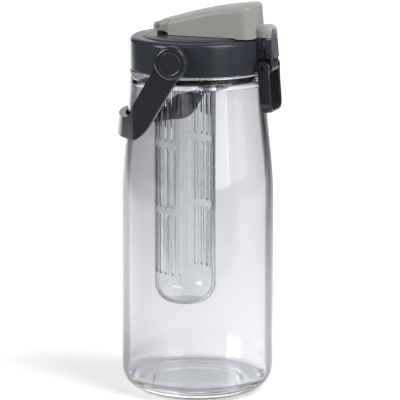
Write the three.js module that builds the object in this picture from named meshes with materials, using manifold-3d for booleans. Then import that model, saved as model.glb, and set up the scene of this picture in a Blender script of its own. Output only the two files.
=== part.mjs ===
// A clear infuser pitcher with a screw lid, a spring flip cover, a rocker latch with a lock loop,
// a carry handle and a slotted infuser basket. Millimetres, +Z up, +X towards the latch.
// The origin is the centre of the circle that the bottle stands on.
import * as THREE from "three";
import { mergeVertices } from "three/addons/utils/BufferGeometryUtils.js";
import Module from "manifold-3d";

const wasm = await Module();
wasm.setup();

// Fits
const CLEAR = 0.3;
const PIN_FIT = 0.3;
const EMBED = 0.6;
const FACETS = 36;

// Bottle
const BODY_RADIUS = 56;
const BODY_WALL = 2.6;
const HEEL_RADIUS = 18;
const FOOT_WIDTH = 5;
const PUNT_HEIGHT = 3;
const FLOOR_THICKNESS = 4;
const SHOULDER_START = 140;
const SHOULDER_END = 236;
const SHOULDER_PROUD = 0.4;
const SHOULDER_SWELL = 0.8;
const SHOULDER_PULL_LOW = 35;
const SHOULDER_PULL_HIGH = 41;
const SHOULDER_ROUND = 2.6;
const NECK_PLAY = 1.9;
const NECK_WALL = 2.6;
const NECK_HEIGHT = 18.9;

// Screw thread of the neck and the lid
const THREAD_PITCH = 5;
const THREAD_TURNS = 1.25;
const THREAD_HEIGHT = 1.3;
const THREAD_ROOT = 2.2;
const THREAD_CREST = 1.1;
const NECK_THREAD_LIFT = 5.2;

// Lid
const LID_RADIUS = 49;
const LID_WALL = 2.5;
const LID_HEIGHT = 24.1;
const LID_EDGE_ROUND = 3.4;
const LID_SEAT_GAP = 0.8;
const DECK_RADIUS = 40.6;
const DECK_RISE = 1.5;
const DECK_THICKNESS = 2.4;
const GASKET_HEIGHT = 2.4;
const GASKET_OVERHANG = 0.7;
const SEAL_LAND_RADIUS = 39;

// Pour spout and its plug
const SPOUT_INSET = 20;
const SPOUT_RADIUS = 11;
const SPOUT_BORE = 9;
const SPOUT_HEIGHT = 14.5;
const PLUG_PLAY = 0.8;
const PLUG_DEPTH = 3.2;
const PLUG_FLANGE = 2.4;

// Flip cover
const HINGE_X = -25.6;
const HINGE_RISE = 5.6;
const HINGE_PIN_RADIUS = 1.1;
const KNUCKLE_RADIUS = 3.5;
const KNUCKLE_HALF_SPAN = 14;
const LUG_RADIUS = 2.6;
const LUG_OUTER = 8.5;
const LUG_WIDTH = 3.9;
const COVER_HALF_WIDTH = 19;
const COVER_END_WALL = 6;
const COVER_STEP_X = -17.5;
const COVER_LOW_RISE = 12.6;
const COVER_HIGH_RISE = 24.5;
const COVER_BULGE = 4.6;
const COVER_EDGE_DROP = 4.6;
const COVER_EDGE_SPAN = 9;
const COVER_WALL = 2.2;
const COVER_ROOF = 3.3;
const COVER_CORNER = 6.5;
const COVER_SKIRT_GAP = 1.1;
const COVER_SIDE_DRAFT = 5;
const COVER_END_DRAFT = 4.2;
const TONGUE_HALF_WIDTH = 8.3;
const TONGUE_RISE = 8.6;
const TONGUE_ROUND = 4;
const TONGUE_EDGE = 4.5;
const TONGUE_UNDERCUT = 1.9;

// Latch housing, rocker button and their pin and spring
const LATCH_HALF_WIDTH = 8.5;
const LATCH_REACH = 11.3;
const LATCH_LEAN = 5;
const LATCH_TOP_DROP = 1.4;
const LATCH_HEIGHT = 13.9;
const LATCH_FOOT_HALF_WIDTH = 7.4;
const LATCH_FOOT_STEP = 0.5;
const LATCH_FOOT_CHAMFER = 2.6;
const LATCH_FOOT_WALL = 1.6;
const LATCH_WEB_HALF_WIDTH = 4.5;
const LATCH_RIM = 1.6;
const LATCH_POCKET_FLOOR = 1.8;
const CHEEK_PANEL = 6.4;
const CHEEK_PANEL_HEIGHT = 6.3;
const CHEEK_PANEL_DEPTH = 0.9;
const BUTTON_PIN_REACH = 4.9;
const BUTTON_PIN_DROP = 2.9;
const BUTTON_PIN_RADIUS = 1;
const BUTTON_PIN_RECESS = 0.9;
const BUTTON_HEIGHT = 20.8;
const BUTTON_CENTRE_DROP = 0.6;
const BUTTON_THICKNESS = 1.4;
const BUTTON_SINK = 0.5;
const BUTTON_ROCK_ROOM = 1.7;
const BUTTON_HUB_RADIUS = 2.5;
const BUTTON_NOSE_HALF_WIDTH = 3.4;
const BUTTON_NOSE_HEIGHT = 3;
const BUTTON_NOSE_RISE = 7.3;
const BUTTON_NOSE_LENGTH = 1.6;
const BUTTON_NOSE_PLAY = 0.5;
const BUTTON_SPRING_DROP = 8.7;
const BUTTON_SPRING_RADIUS = 2;
const BUTTON_SPRING_COILS = 6;
const SPRING_WIRE = 0.6;

// Lock loop
const LOOP_PIN_REACH = 5.8;
const LOOP_PIN_RISE = 4.1;
const LOOP_PIN_RADIUS = 1.2;
const LOOP_PIN_RECESS = 2.6;
const LOOP_BOSS_RADIUS = 3.4;
const LOOP_BOSS = 1.5;
const LOOP_LEAN = 4.6;
const LOOP_LENGTH = 33.4;
const LOOP_STRAP = 4;
const LOOP_BAR = 2.4;
const LOOP_EYE_RADIUS = 4.8;
const LOOP_HALF = 3.8;
const LOOP_NECK = 7;
const LOOP_TIP_ROUND = 3;
const LOOP_CORNER = 8.5;
const LOOP_INNER_CORNER = 5;

// Carry handle
const PIVOT_RISE = 11;
const JOURNAL_RADIUS = 6.8;
const JOURNAL_LENGTH = 3.6;
const PAD_RADIUS = 10.8;
const PAD_RISE = 0.9;
const BAND = 5;
const EYE_RADIUS = 12.4;
const EYE_RISE = 1.8;
const EYE_BEVEL = 1.6;
const EYE_LIP = 3;
const CAP_SEAT_RADIUS = 8.7;
const CAP_THICKNESS = 0.9;
const CAP_SKIRT = 1.2;
const CAP_PROUD = 0.4;
const ARM_LEAN = 31.2;
const ARM_OFFSET = 0.9;
const ARM_TOP_WIDTH = 18.9;
const ARM_LOW_WIDTH = 18.1;
const ARM_LENGTH = 45;
const GRIP_DROP = 57.7;
const GRIP_HEIGHT = 15;
const GRIP_ARC_X = 8;
const GRIP_BODY_CLEARANCE = 10.3;
const GRIP_SHOULDER_CLEARANCE = 16.9;
const GRIP_SLANT = 1.7;
const GRIP_SLANT_START = 30;
const GRIP_SLANT_SPAN = 20;
const WASHER_THICKNESS = 0.8;
const SCREW_HEAD_RADIUS = 3.4;
const SCREW_HEAD_HEIGHT = 1.1;
const SCREW_RADIUS = 1.8;
const SCREW_LENGTH = 6.8;

// Infuser basket
const INFUSER_X = -9.5;
const INFUSER_RADIUS = 22.5;
const INFUSER_WALL = 1.8;
const INFUSER_LENGTH = 198;
const INFUSER_HEEL = 14;
const COLLAR_PLAY = 0.5;
const COLLAR_WALL = 2.2;
const COLLAR_DEPTH = 13;
const LUG_HEIGHT = 3;
const LUG_LENGTH = 4;
const LUG_DROP = 10;
const LUG_REACH = 1.4;
const TWIST = 40;
const SLOT_WIDTH = 2.6;
const SLOT_HEIGHT = 45;
const SLOT_BRIDGE = 4.5;
const SLOT_TIERS = 3;
const SLOT_COUNT = 6;
const SLOT_STEP = 15;
const SLOT_CENTRE = 65;
const SLOT_FOOT = 24;

// Levels that follow from the sizes above
const LEDGE_Z = SHOULDER_END + SHOULDER_ROUND;
const RIM_Z = LEDGE_Z + NECK_HEIGHT;
const LID_BOTTOM = LEDGE_Z + LID_SEAT_GAP;
const SHOULDER_TOP = LID_BOTTOM + LID_HEIGHT;
const DECK_Z = SHOULDER_TOP + DECK_RISE;
const DECK_UNDER = DECK_Z - DECK_THICKNESS;
const GASKET_Z = RIM_Z + CLEAR;
const LAND_Z = GASKET_Z + GASKET_HEIGHT + CLEAR;
const LID_BORE = LID_RADIUS - LID_WALL;
const NECK_RADIUS = LID_BORE - NECK_PLAY;
const SHOULDER_RADIUS = LID_RADIUS + SHOULDER_PROUD;
const SPOUT_X = LID_RADIUS - SPOUT_INSET;
const COVER_END_X = LID_RADIUS;
const COVER_HOLLOW_X = COVER_END_X - COVER_END_WALL;
const LATCH_FRONT_X = LID_RADIUS + LATCH_REACH;
const LATCH_POCKET_BACK_X = LID_RADIUS + LATCH_POCKET_FLOOR;
const BUTTON_PIN_X = LID_RADIUS + BUTTON_PIN_REACH;
const LOOP_PIN_X = LID_RADIUS + LOOP_PIN_REACH;
const GRIP_ARC_RADIUS = Math.max(
  BODY_RADIUS + GRIP_BODY_CLEARANCE,
  SHOULDER_RADIUS + GRIP_SHOULDER_CLEARANCE,
);
const HINGE_Z = DECK_Z + HINGE_RISE;
const COVER_BOTTOM = DECK_Z + CLEAR;
const SPOUT_TOP = DECK_Z + SPOUT_HEIGHT;
const LATCH_TOP = DECK_Z - LATCH_TOP_DROP;
const LATCH_STEP = LATCH_TOP - LATCH_HEIGHT;
const LATCH_POCKET_HALF_WIDTH = LATCH_HALF_WIDTH - LATCH_RIM;
const BUTTON_PIN_Z = LATCH_TOP - BUTTON_PIN_DROP;
const BUTTON_PIN_HALF = LATCH_HALF_WIDTH - BUTTON_PIN_RECESS;
const BUTTON_BACK_X = LATCH_FRONT_X - BUTTON_SINK;
const BUTTON_RADIUS = LATCH_POCKET_HALF_WIDTH - CLEAR;
const BUTTON_TOP_ARC_Z = BUTTON_PIN_Z - BUTTON_CENTRE_DROP + BUTTON_HEIGHT / 2 - BUTTON_RADIUS;
const BUTTON_LOW_ARC_Z = BUTTON_TOP_ARC_Z - BUTTON_HEIGHT + 2 * BUTTON_RADIUS;
const TONGUE_END_X = LATCH_FRONT_X;
const LOOP_PIN_Z = LID_BOTTOM + LOOP_PIN_RISE;
const LOOP_INNER = LATCH_FOOT_HALF_WIDTH + LOOP_BOSS + CLEAR;
const LOOP_OUTER = LOOP_INNER + LOOP_STRAP;
const LOOP_PIN_HALF = LOOP_OUTER - LOOP_PIN_RECESS;
const PIVOT_Z = LID_BOTTOM + PIVOT_RISE;
const PAD_Y = LID_RADIUS + PAD_RISE;
const EYE_INNER_Y = PAD_Y + CLEAR;
const EYE_OUTER_Y = EYE_INNER_Y + BAND + EYE_RISE;
const JOURNAL_END_Y = PAD_Y + JOURNAL_LENGTH;
const WASHER_Y = JOURNAL_END_Y + CLEAR;
const HEAD_Y = WASHER_Y + WASHER_THICKNESS + CLEAR;
const INFUSER_TOP = DECK_UNDER - CLEAR;
const INFUSER_BOTTOM = INFUSER_TOP - INFUSER_LENGTH;
const COLLAR_RADIUS = INFUSER_RADIUS - INFUSER_WALL - COLLAR_PLAY;

// Solid tools

// A closed geometry as a solid that can be joined and cut, turned right side out.
function solid(geometry) {
  const bare = geometry.clone();
  bare.deleteAttribute("normal");
  bare.deleteAttribute("uv");
  const merged = mergeVertices(bare, 1e-4);
  const index = merged.index.array;
  const positions = merged.attributes.position.array;
  const kept = [];
  for (let i = 0; i < index.length; i += 3) {
    const [a, b, c] = [index[i], index[i + 1], index[i + 2]];
    if (a !== b && b !== c && c !== a) kept.push([a, b, c]);
  }
  const make = (faces) =>
    new wasm.Manifold(
      new wasm.Mesh({
        numProp: 3,
        vertProperties: new Float32Array(positions),
        triVerts: new Uint32Array(faces.flat()),
      }),
    );
  const made = make(kept);
  return made.volume() < 0 ? make(kept.map(([a, b, c]) => [a, c, b])) : made;
}

// A solid of revolution about a vertical axis, from a profile of [radius, height] points.
function turned(profile, x = 0) {
  const points = profile.map(([r, z]) => new THREE.Vector2(r, z));
  const lathe = new THREE.LatheGeometry(points, FACETS);
  return solid(lathe.rotateX(Math.PI / 2).translate(x, 0, 0));
}

// A ring about a vertical axis.
function ring(inner, outer, low, high, x = 0) {
  return turned([[inner, low], [outer, low], [outer, high], [inner, high], [inner, low]], x);
}

// A side outline of [x, z] points, or a THREE.Shape, as wide as from low to high along Y.
function sidePlate(outline, low, high, bevel = {}) {
  const shape = outline instanceof THREE.Shape ? outline : shapeOf(outline);
  const options = { depth: high - low, bevelEnabled: false, curveSegments: 10, ...bevel };
  const plate = new THREE.ExtrudeGeometry(shape, options);
  return solid(plate.rotateX(Math.PI / 2).translate(0, high, 0));
}

// A plan outline raised from low to high.
function planPlate(outline, low, high) {
  const shape = outline instanceof THREE.Shape ? outline : shapeOf(outline);
  const options = { depth: high - low, bevelEnabled: false, curveSegments: 10 };
  return solid(new THREE.ExtrudeGeometry(shape, options).translate(0, 0, low));
}

// A front outline of [y, z] points drawn from x low to x high.
function frontPlate(outline, low, high) {
  const shape = outline instanceof THREE.Shape ? outline : shapeOf(outline);
  const options = { depth: high - low, bevelEnabled: false, curveSegments: 8 };
  const toFront = new THREE.Matrix4().set(0, 0, 1, 0, 1, 0, 0, 0, 0, 1, 0, 0, 0, 0, 0, 1);
  const plate = new THREE.ExtrudeGeometry(shape, options).applyMatrix4(toFront);
  return solid(plate.translate(low, 0, 0));
}

function shapeOf(points) {
  return new THREE.Shape(points.map(([x, y]) => new THREE.Vector2(x, y)));
}

// A box from its low to its high corner.
function block([x0, y0, z0], [x1, y1, z1]) {
  const box = new THREE.BoxGeometry(x1 - x0, y1 - y0, z1 - z0);
  return solid(box.translate((x0 + x1) / 2, (y0 + y1) / 2, (z0 + z1) / 2));
}

// A round bar along Y.
function crossBar(radius, x, z, low, high, facets = 24) {
  const bar = new THREE.CylinderGeometry(radius, radius, high - low, facets);
  return solid(bar.translate(x, (low + high) / 2, z));
}

// A solid of revolution about the handle pivot, from [radius, y] points on the +Y side.
function pivotTurned(profile, facets = 32) {
  const points = profile.map(([r, y]) => new THREE.Vector2(r, y));
  return solid(new THREE.LatheGeometry(points, facets).translate(0, 0, PIVOT_Z));
}

// Points on an arc between two angles in degrees.
function arc(cx, cz, radius, from, to, steps) {
  return Array.from({ length: steps + 1 }, (_, i) => {
    const angle = THREE.MathUtils.degToRad(from + ((to - from) * i) / steps);
    return [cx + radius * Math.cos(angle), cz + radius * Math.sin(angle)];
  });
}

// A screw ridge on a wall: its root lies inside the wall and its crest reaches out by the height.
function screwRidge(wall, reach, startZ, startAngle) {
  const root = wall - Math.sign(reach) * EMBED;
  const crest = wall + reach;
  const section = [
    [root, -THREAD_ROOT / 2],
    [crest, -THREAD_CREST / 2],
    [crest, THREAD_CREST / 2],
    [root, THREAD_ROOT / 2],
  ];
  const steps = Math.round(THREAD_TURNS * FACETS);
  const positions = [];
  const index = [];
  for (let i = 0; i <= steps; i++) {
    const turn = (THREAD_TURNS * i) / steps;
    const angle = startAngle + turn * 2 * Math.PI;
    for (const [r, dz] of section)
      positions.push(r * Math.cos(angle), r * Math.sin(angle), startZ + turn * THREAD_PITCH + dz);
  }
  for (let i = 0; i < steps; i++)
    for (let k = 0; k < 4; k++) {
      const [a, b] = [4 * i + k, 4 * i + ((k + 1) % 4)];
      index.push(a, b, b + 4, a, b + 4, a + 4);
    }
  const last = 4 * steps;
  index.push(0, 2, 1, 0, 3, 2, last, last + 1, last + 2, last, last + 2, last + 3);
  const ridge = new THREE.BufferGeometry();
  ridge.setAttribute("position", new THREE.Float32BufferAttribute(positions, 3));
  return solid(ridge.setIndex(index));
}

// A coil spring as one tube, with its least gap to itself measured between turns and printed.
class Coil extends THREE.Curve {
  constructor(place, radius, length, coils) {
    super();
    Object.assign(this, { place, radius, length, coils });
  }
  getPoint(t, target = new THREE.Vector3()) {
    const angle = t * this.coils * 2 * Math.PI;
    const across = [this.radius * Math.cos(angle), this.radius * Math.sin(angle)];
    return target.set(...this.place(across[0], across[1], t * this.length));
  }
}

function spring(name, place, radius, length, coils) {
  const stepsPerCoil = 8;
  const sides = 5;
  const path = new Coil(place, radius, length, coils);
  const wire = shapeOf(arc(0, 0, SPRING_WIRE / 2, 0, 360 - 360 / sides, sides - 1));
  const steps = stepsPerCoil * coils;
  const options = { steps, extrudePath: path, bevelEnabled: false };
  const points = path.getPoints(steps * 4);
  let least = Infinity;
  points.forEach((p, i) =>
    points.slice(i + stepsPerCoil * 2).forEach((q) => {
      least = Math.min(least, p.distanceTo(q) - SPRING_WIRE);
    }),
  );
  console.log(name + ": least gap between turns " + least.toFixed(2) + " mm");
  return solid(new THREE.ExtrudeGeometry(wire, options));
}

// Both sides of the object carry the same piece.
const mirrored = (made) => made.mirror([0, 1, 0]);

// Materials
const finish = (color, roughness, metalness = 0, opacity = 1) =>
  new THREE.MeshStandardMaterial({
    color,
    roughness,
    metalness,
    opacity,
    transparent: opacity < 1,
  });
const clearPlastic = () => finish(0xe4e9ec, 0.08, 0, 0.3);
const lidPlastic = () => finish(0x3a3d43, 0.45);
const handlePlastic = () => finish(0x34363a, 0.5);
const coverPlastic = () => finish(0x92938d, 0.5);
const buttonPlastic = () => finish(0x62656c, 0.4);
const silicone = () => finish(0xd9dad6, 0.7);
const steel = () => finish(0xb9bcc0, 0.3, 1);

const pitcher = new THREE.Group();

// Adds one named piece of the object.
function piece(name, made, material) {
  const { vertProperties, triVerts } = made.getMesh();
  const geometry = new THREE.BufferGeometry();
  geometry.setAttribute("position", new THREE.BufferAttribute(vertProperties, 3));
  geometry.setIndex(new THREE.BufferAttribute(triVerts, 1));
  geometry.computeVertexNormals();
  const mesh = new THREE.Mesh(geometry, material);
  mesh.name = name;
  pitcher.add(mesh);
}

// Bottle: a turned wall from the foot ring to the threaded neck and back down inside.
function shoulderCurve(inset, drop) {
  const curve = new THREE.CubicBezierCurve(
    new THREE.Vector2(BODY_RADIUS - inset, SHOULDER_START),
    new THREE.Vector2(BODY_RADIUS - inset, SHOULDER_START + SHOULDER_PULL_LOW),
    new THREE.Vector2(SHOULDER_RADIUS + SHOULDER_SWELL - inset, SHOULDER_END - SHOULDER_PULL_HIGH),
    new THREE.Vector2(SHOULDER_RADIUS - inset, SHOULDER_END - drop),
  );
  return curve.getPoints(7).map((p) => [p.x, p.y]);
}

function bottleBody() {
  const foot = BODY_RADIUS - HEEL_RADIUS;
  const floor = PUNT_HEIGHT + FLOOR_THICKNESS;
  const innerHeel = HEEL_RADIUS - BODY_WALL;
  const roundFrom = SHOULDER_RADIUS - SHOULDER_ROUND;
  const mouth = NECK_RADIUS - NECK_WALL;
  const throatDrop = BODY_WALL + SHOULDER_ROUND;
  const profile = [
    [0, PUNT_HEIGHT],
    [foot - FOOT_WIDTH - PUNT_HEIGHT, PUNT_HEIGHT],
    [foot - FOOT_WIDTH, 0],
    ...arc(foot, HEEL_RADIUS, HEEL_RADIUS, -90, 0, 5),
    ...shoulderCurve(0, 0),
    ...arc(roundFrom, SHOULDER_END, SHOULDER_ROUND, 30, 90, 2),
    [NECK_RADIUS, LEDGE_Z],
    [NECK_RADIUS, RIM_Z],
    [mouth, RIM_Z],
    [mouth, LEDGE_Z],
    ...shoulderCurve(BODY_WALL, throatDrop).reverse(),
    ...arc(foot, floor + innerHeel, innerHeel, 0, -90, 4),
    [0, floor],
  ];
  const ridge = screwRidge(NECK_RADIUS, THREAD_HEIGHT, LEDGE_Z + NECK_THREAD_LIFT, 0);
  return turned(profile).add(ridge);
}

// Lid: one moulding with the threaded skirt, deck, spout, hinge lugs, latch housing, handle
// journals and the collar that the infuser hangs on.
function lidShell() {
  const edge = LID_RADIUS - LID_EDGE_ROUND;
  const profile = [
    [0, DECK_Z],
    [DECK_RADIUS, DECK_Z],
    [DECK_RADIUS, SHOULDER_TOP],
    ...arc(edge, SHOULDER_TOP - LID_EDGE_ROUND, LID_EDGE_ROUND, 90, 0, 3),
    [LID_RADIUS, LID_BOTTOM],
    [LID_BORE, LID_BOTTOM],
    [LID_BORE, LAND_Z],
    [SEAL_LAND_RADIUS, LAND_Z],
    [SEAL_LAND_RADIUS, DECK_UNDER],
    [0, DECK_UNDER],
  ];
  const startZ = LEDGE_Z + NECK_THREAD_LIFT - THREAD_PITCH / 2;
  return turned(profile).add(screwRidge(LID_BORE, -THREAD_HEIGHT, startZ, 0));
}

function withSpout(lid) {
  const tube = ring(SPOUT_BORE - EMBED, SPOUT_RADIUS, DECK_UNDER + EMBED, SPOUT_TOP, SPOUT_X);
  const bore = turned(
    [
      [0, DECK_UNDER - EMBED],
      [SPOUT_BORE, DECK_UNDER - EMBED],
      [SPOUT_BORE, SPOUT_TOP + EMBED],
      [0, SPOUT_TOP + EMBED],
    ],
    SPOUT_X,
  );
  return lid.add(tube).subtract(bore);
}

function withHingeLugs(lid) {
  const outline = [
    [HINGE_X - LUG_RADIUS, DECK_Z - EMBED],
    [HINGE_X + LUG_RADIUS, DECK_Z - EMBED],
    ...arc(HINGE_X, HINGE_Z, LUG_RADIUS, 0, 180, 8),
  ];
  const lug = sidePlate(outline, LUG_OUTER - LUG_WIDTH, LUG_OUTER);
  const hole = crossBar(HINGE_PIN_RADIUS + PIN_FIT, HINGE_X, HINGE_Z, -LUG_OUTER - 1, LUG_OUTER + 1);
  return lid.add(lug).add(mirrored(lug)).subtract(hole);
}

function withLatchHousing(lid) {
  const back = LID_BORE + EMBED;
  const cheeks = block(
    [back, -LATCH_HALF_WIDTH, LATCH_STEP],
    [LATCH_FRONT_X, LATCH_HALF_WIDTH, LATCH_TOP],
  );
  const footFront = LATCH_FRONT_X - LATCH_FOOT_STEP;
  const footOutline = [
    [back, LID_BOTTOM],
    [footFront - LATCH_FOOT_CHAMFER, LID_BOTTOM],
    [footFront, LID_BOTTOM + LATCH_FOOT_CHAMFER],
    [footFront, LATCH_STEP + EMBED],
    [back, LATCH_STEP + EMBED],
  ];
  const footSide = block(
    [back - 1, LATCH_WEB_HALF_WIDTH, LID_BOTTOM - 1],
    [footFront - LATCH_FOOT_WALL, LATCH_FOOT_HALF_WIDTH + 1, LATCH_STEP + EMBED + 1],
  );
  const foot = sidePlate(footOutline, -LATCH_FOOT_HALF_WIDTH, LATCH_FOOT_HALF_WIDTH)
    .subtract(footSide)
    .subtract(mirrored(footSide));
  const pocketTop = LATCH_TOP + EMBED;
  const pocketOutline = [
    ...arc(0, BUTTON_LOW_ARC_Z - BUTTON_ROCK_ROOM, LATCH_POCKET_HALF_WIDTH, 180, 360, 12),
    [LATCH_POCKET_HALF_WIDTH, pocketTop],
    [-LATCH_POCKET_HALF_WIDTH, pocketTop],
  ];
  const pocket = frontPlate(pocketOutline, LATCH_POCKET_BACK_X, LATCH_FRONT_X + EMBED);
  const panelX = LID_RADIUS - CLEAR;
  const panel = block(
    [panelX, LATCH_HALF_WIDTH - CHEEK_PANEL_DEPTH, LATCH_STEP - EMBED],
    [panelX + CHEEK_PANEL, LATCH_HALF_WIDTH + EMBED, LATCH_STEP + CHEEK_PANEL_HEIGHT],
  );
  const bossEnd = LATCH_FOOT_HALF_WIDTH + LOOP_BOSS;
  const boss = crossBar(LOOP_BOSS_RADIUS, LOOP_PIN_X, LOOP_PIN_Z, -bossEnd, bossEnd);
  const across = LOOP_INNER + 1;
  const buttonHole = crossBar(
    BUTTON_PIN_RADIUS + PIN_FIT, BUTTON_PIN_X, BUTTON_PIN_Z, -across, across,
  );
  const loopHole = crossBar(LOOP_PIN_RADIUS + PIN_FIT, LOOP_PIN_X, LOOP_PIN_Z, -across, across);
  const housing = cheeks.add(foot).subtract(pocket).warp(latchLean);
  return lid
    .add(housing)
    .add(boss)
    .subtract(panel)
    .subtract(mirrored(panel))
    .subtract(buttonHole)
    .subtract(loopHole);
}

// The front of the latch leans back towards its top; the lid's wall stays upright.
function latchLean(point) {
  const share = THREE.MathUtils.clamp((point[0] - LID_RADIUS) / (LATCH_FRONT_X - LID_RADIUS), 0, 1);
  point[0] -= setBack(point[2]) * share;
}

function setBack(z) {
  return Math.tan(THREE.MathUtils.degToRad(LATCH_LEAN)) * (z - LATCH_STEP);
}

function withJournals(lid) {
  const start = LID_BORE + EMBED;
  const journal = pivotTurned([
    [0, start],
    [PAD_RADIUS, start],
    [PAD_RADIUS, PAD_Y],
    [JOURNAL_RADIUS, PAD_Y],
    [JOURNAL_RADIUS, JOURNAL_END_Y],
    [0, JOURNAL_END_Y],
  ]);
  const holeEnd = HEAD_Y - SCREW_LENGTH - CLEAR;
  const hole = crossBar(SCREW_RADIUS + PIN_FIT, 0, PIVOT_Z, holeEnd, JOURNAL_END_Y + 1);
  const bore = turned([[0, LID_BOTTOM - 1], [LID_BORE, LID_BOTTOM - 1], [LID_BORE, LAND_Z], [0, LAND_Z]]);
  const outside = journal.subtract(bore);
  return lid
    .add(outside)
    .add(mirrored(outside))
    .subtract(hole)
    .subtract(mirrored(hole));
}

function withCollar(lid) {
  const collar = ring(
    COLLAR_RADIUS - COLLAR_WALL, COLLAR_RADIUS, DECK_UNDER - COLLAR_DEPTH, DECK_UNDER + EMBED, INFUSER_X,
  );
  const lugTop = DECK_UNDER - LUG_DROP + LUG_HEIGHT / 2;
  const reach = COLLAR_RADIUS + LUG_REACH;
  const lug = block(
    [INFUSER_X - LUG_LENGTH / 2, COLLAR_RADIUS - EMBED, lugTop - LUG_HEIGHT],
    [INFUSER_X + LUG_LENGTH / 2, reach, lugTop],
  );
  return lid.add(collar).add(lug).add(mirrored(lug));
}

// Flip cover: a hollow wedge with a crowned top, hinge knuckles at its low end and at its high
// end a tongue that arches over the top of the button.
function coverTop(inset) {
  const low = new THREE.Vector2(HINGE_X - KNUCKLE_RADIUS, COVER_BOTTOM + COVER_LOW_RISE - COVER_BULGE);
  const high = new THREE.Vector2(COVER_END_X, DECK_Z + COVER_HIGH_RISE);
  const middle = new THREE.Vector2(SPOUT_X - SPOUT_RADIUS, DECK_Z + COVER_HIGH_RISE - 1);
  const curve = new THREE.QuadraticBezierCurve(low, middle, high);
  return curve.getPoints(8).map((p) => [p.x, p.y - inset]);
}

function flipCover() {
  const skirt = COVER_BOTTOM - COVER_EDGE_SPAN;
  const outline = [
    [HINGE_X - KNUCKLE_RADIUS, skirt],
    [COVER_END_X, skirt],
    ...coverTop(0).reverse(),
  ];
  const bevel = {
    bevelEnabled: true,
    bevelThickness: COVER_EDGE_SPAN,
    bevelSize: COVER_EDGE_DROP,
    bevelOffset: -COVER_EDGE_DROP,
    bevelSegments: 3,
  };
  const flat = COVER_HALF_WIDTH - COVER_EDGE_SPAN;
  const crowned = sidePlate(outline, -flat, flat, bevel);
  const plan = new THREE.Shape();
  const side = COVER_HALF_WIDTH - COVER_CORNER;
  const cornerX = Math.sqrt((COVER_END_X - COVER_CORNER) ** 2 - side ** 2);
  const turn = Math.atan2(side, cornerX);
  plan.moveTo(COVER_STEP_X, -COVER_HALF_WIDTH);
  plan.lineTo(cornerX, -COVER_HALF_WIDTH);
  plan.absarc(cornerX, -side, COVER_CORNER, -Math.PI / 2, -turn);
  plan.absarc(0, 0, COVER_END_X, -turn, turn);
  plan.absarc(cornerX, side, COVER_CORNER, turn, Math.PI / 2);
  plan.lineTo(COVER_STEP_X, COVER_HALF_WIDTH);
  plan.lineTo(COVER_STEP_X, KNUCKLE_HALF_SPAN);
  plan.lineTo(HINGE_X - KNUCKLE_RADIUS - 1, KNUCKLE_HALF_SPAN);
  plan.lineTo(HINGE_X - KNUCKLE_RADIUS - 1, -KNUCKLE_HALF_SPAN);
  plan.lineTo(COVER_STEP_X, -KNUCKLE_HALF_SPAN);
  const overDeck = turned([
    [0, SHOULDER_TOP],
    [DECK_RADIUS + CLEAR, SHOULDER_TOP],
    [DECK_RADIUS + CLEAR, COVER_BOTTOM],
    [0, COVER_BOTTOM],
  ]);
  return crowned
    .intersect(planPlate(plan, SHOULDER_TOP + COVER_SKIRT_GAP, DECK_Z + COVER_HIGH_RISE + 1))
    .subtract(coverHollow())
    .subtract(overDeck)
    .warp(draft)
    .subtract(rearRelief())
    .add(knuckles())
    .add(tongue())
    .add(plugBoss().intersect(crowned.warp(draft)))
    .subtract(crossBar(HINGE_PIN_RADIUS + PIN_FIT, HINGE_X, HINGE_Z, -COVER_HALF_WIDTH, COVER_HALF_WIDTH));
}

// The walls of the cover lean in towards its top, so that it leaves its mould.
function draft(point) {
  const lean = (degrees) => Math.tan(THREE.MathUtils.degToRad(degrees));
  const rise = point[2] - COVER_BOTTOM;
  const share = (point[0] - HINGE_X) / (COVER_END_X - HINGE_X);
  point[1] *= 1 - (lean(COVER_SIDE_DRAFT) * rise) / COVER_HALF_WIDTH;
  point[0] -= lean(COVER_END_DRAFT) * rise * share;
}

function coverHollow() {
  const inside = COVER_HALF_WIDTH - COVER_WALL;
  const start = COVER_STEP_X + COVER_WALL;
  const roof = coverTop(COVER_ROOF).filter(([x]) => x > start && x < COVER_HOLLOW_X);
  const outline = [
    [start, SHOULDER_TOP - 1],
    [COVER_HOLLOW_X, SHOULDER_TOP - 1],
    [COVER_HOLLOW_X, roof.at(-1)[1]],
    ...roof.reverse(),
    [start, roof.at(-1)[1]],
  ];
  return sidePlate(outline, -inside, inside);
}

// Behind the hinge axis the middle is open for the lugs and the spring.
function rearRelief() {
  const half = LUG_OUTER + CLEAR;
  const clear = LUG_RADIUS + 2 * CLEAR;
  const behind = HINGE_X - KNUCKLE_RADIUS - 1;
  const open = block([behind, -half, COVER_BOTTOM - 1], [HINGE_X, half, HINGE_Z + COVER_HIGH_RISE]);
  const under = block(
    [HINGE_X - CLEAR, -half, COVER_BOTTOM - 1],
    [COVER_STEP_X + COVER_WALL + CLEAR, half, HINGE_Z + clear],
  );
  const ends = block(
    [behind, -KNUCKLE_HALF_SPAN - 1, COVER_BOTTOM - 1],
    [HINGE_X, KNUCKLE_HALF_SPAN + 1, HINGE_Z],
  );
  return open.add(under).add(ends);
}

function knuckles() {
  const knuckle = crossBar(
    KNUCKLE_RADIUS, HINGE_X, HINGE_Z, LUG_OUTER + CLEAR, KNUCKLE_HALF_SPAN,
  );
  return knuckle.add(mirrored(knuckle));
}

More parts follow.
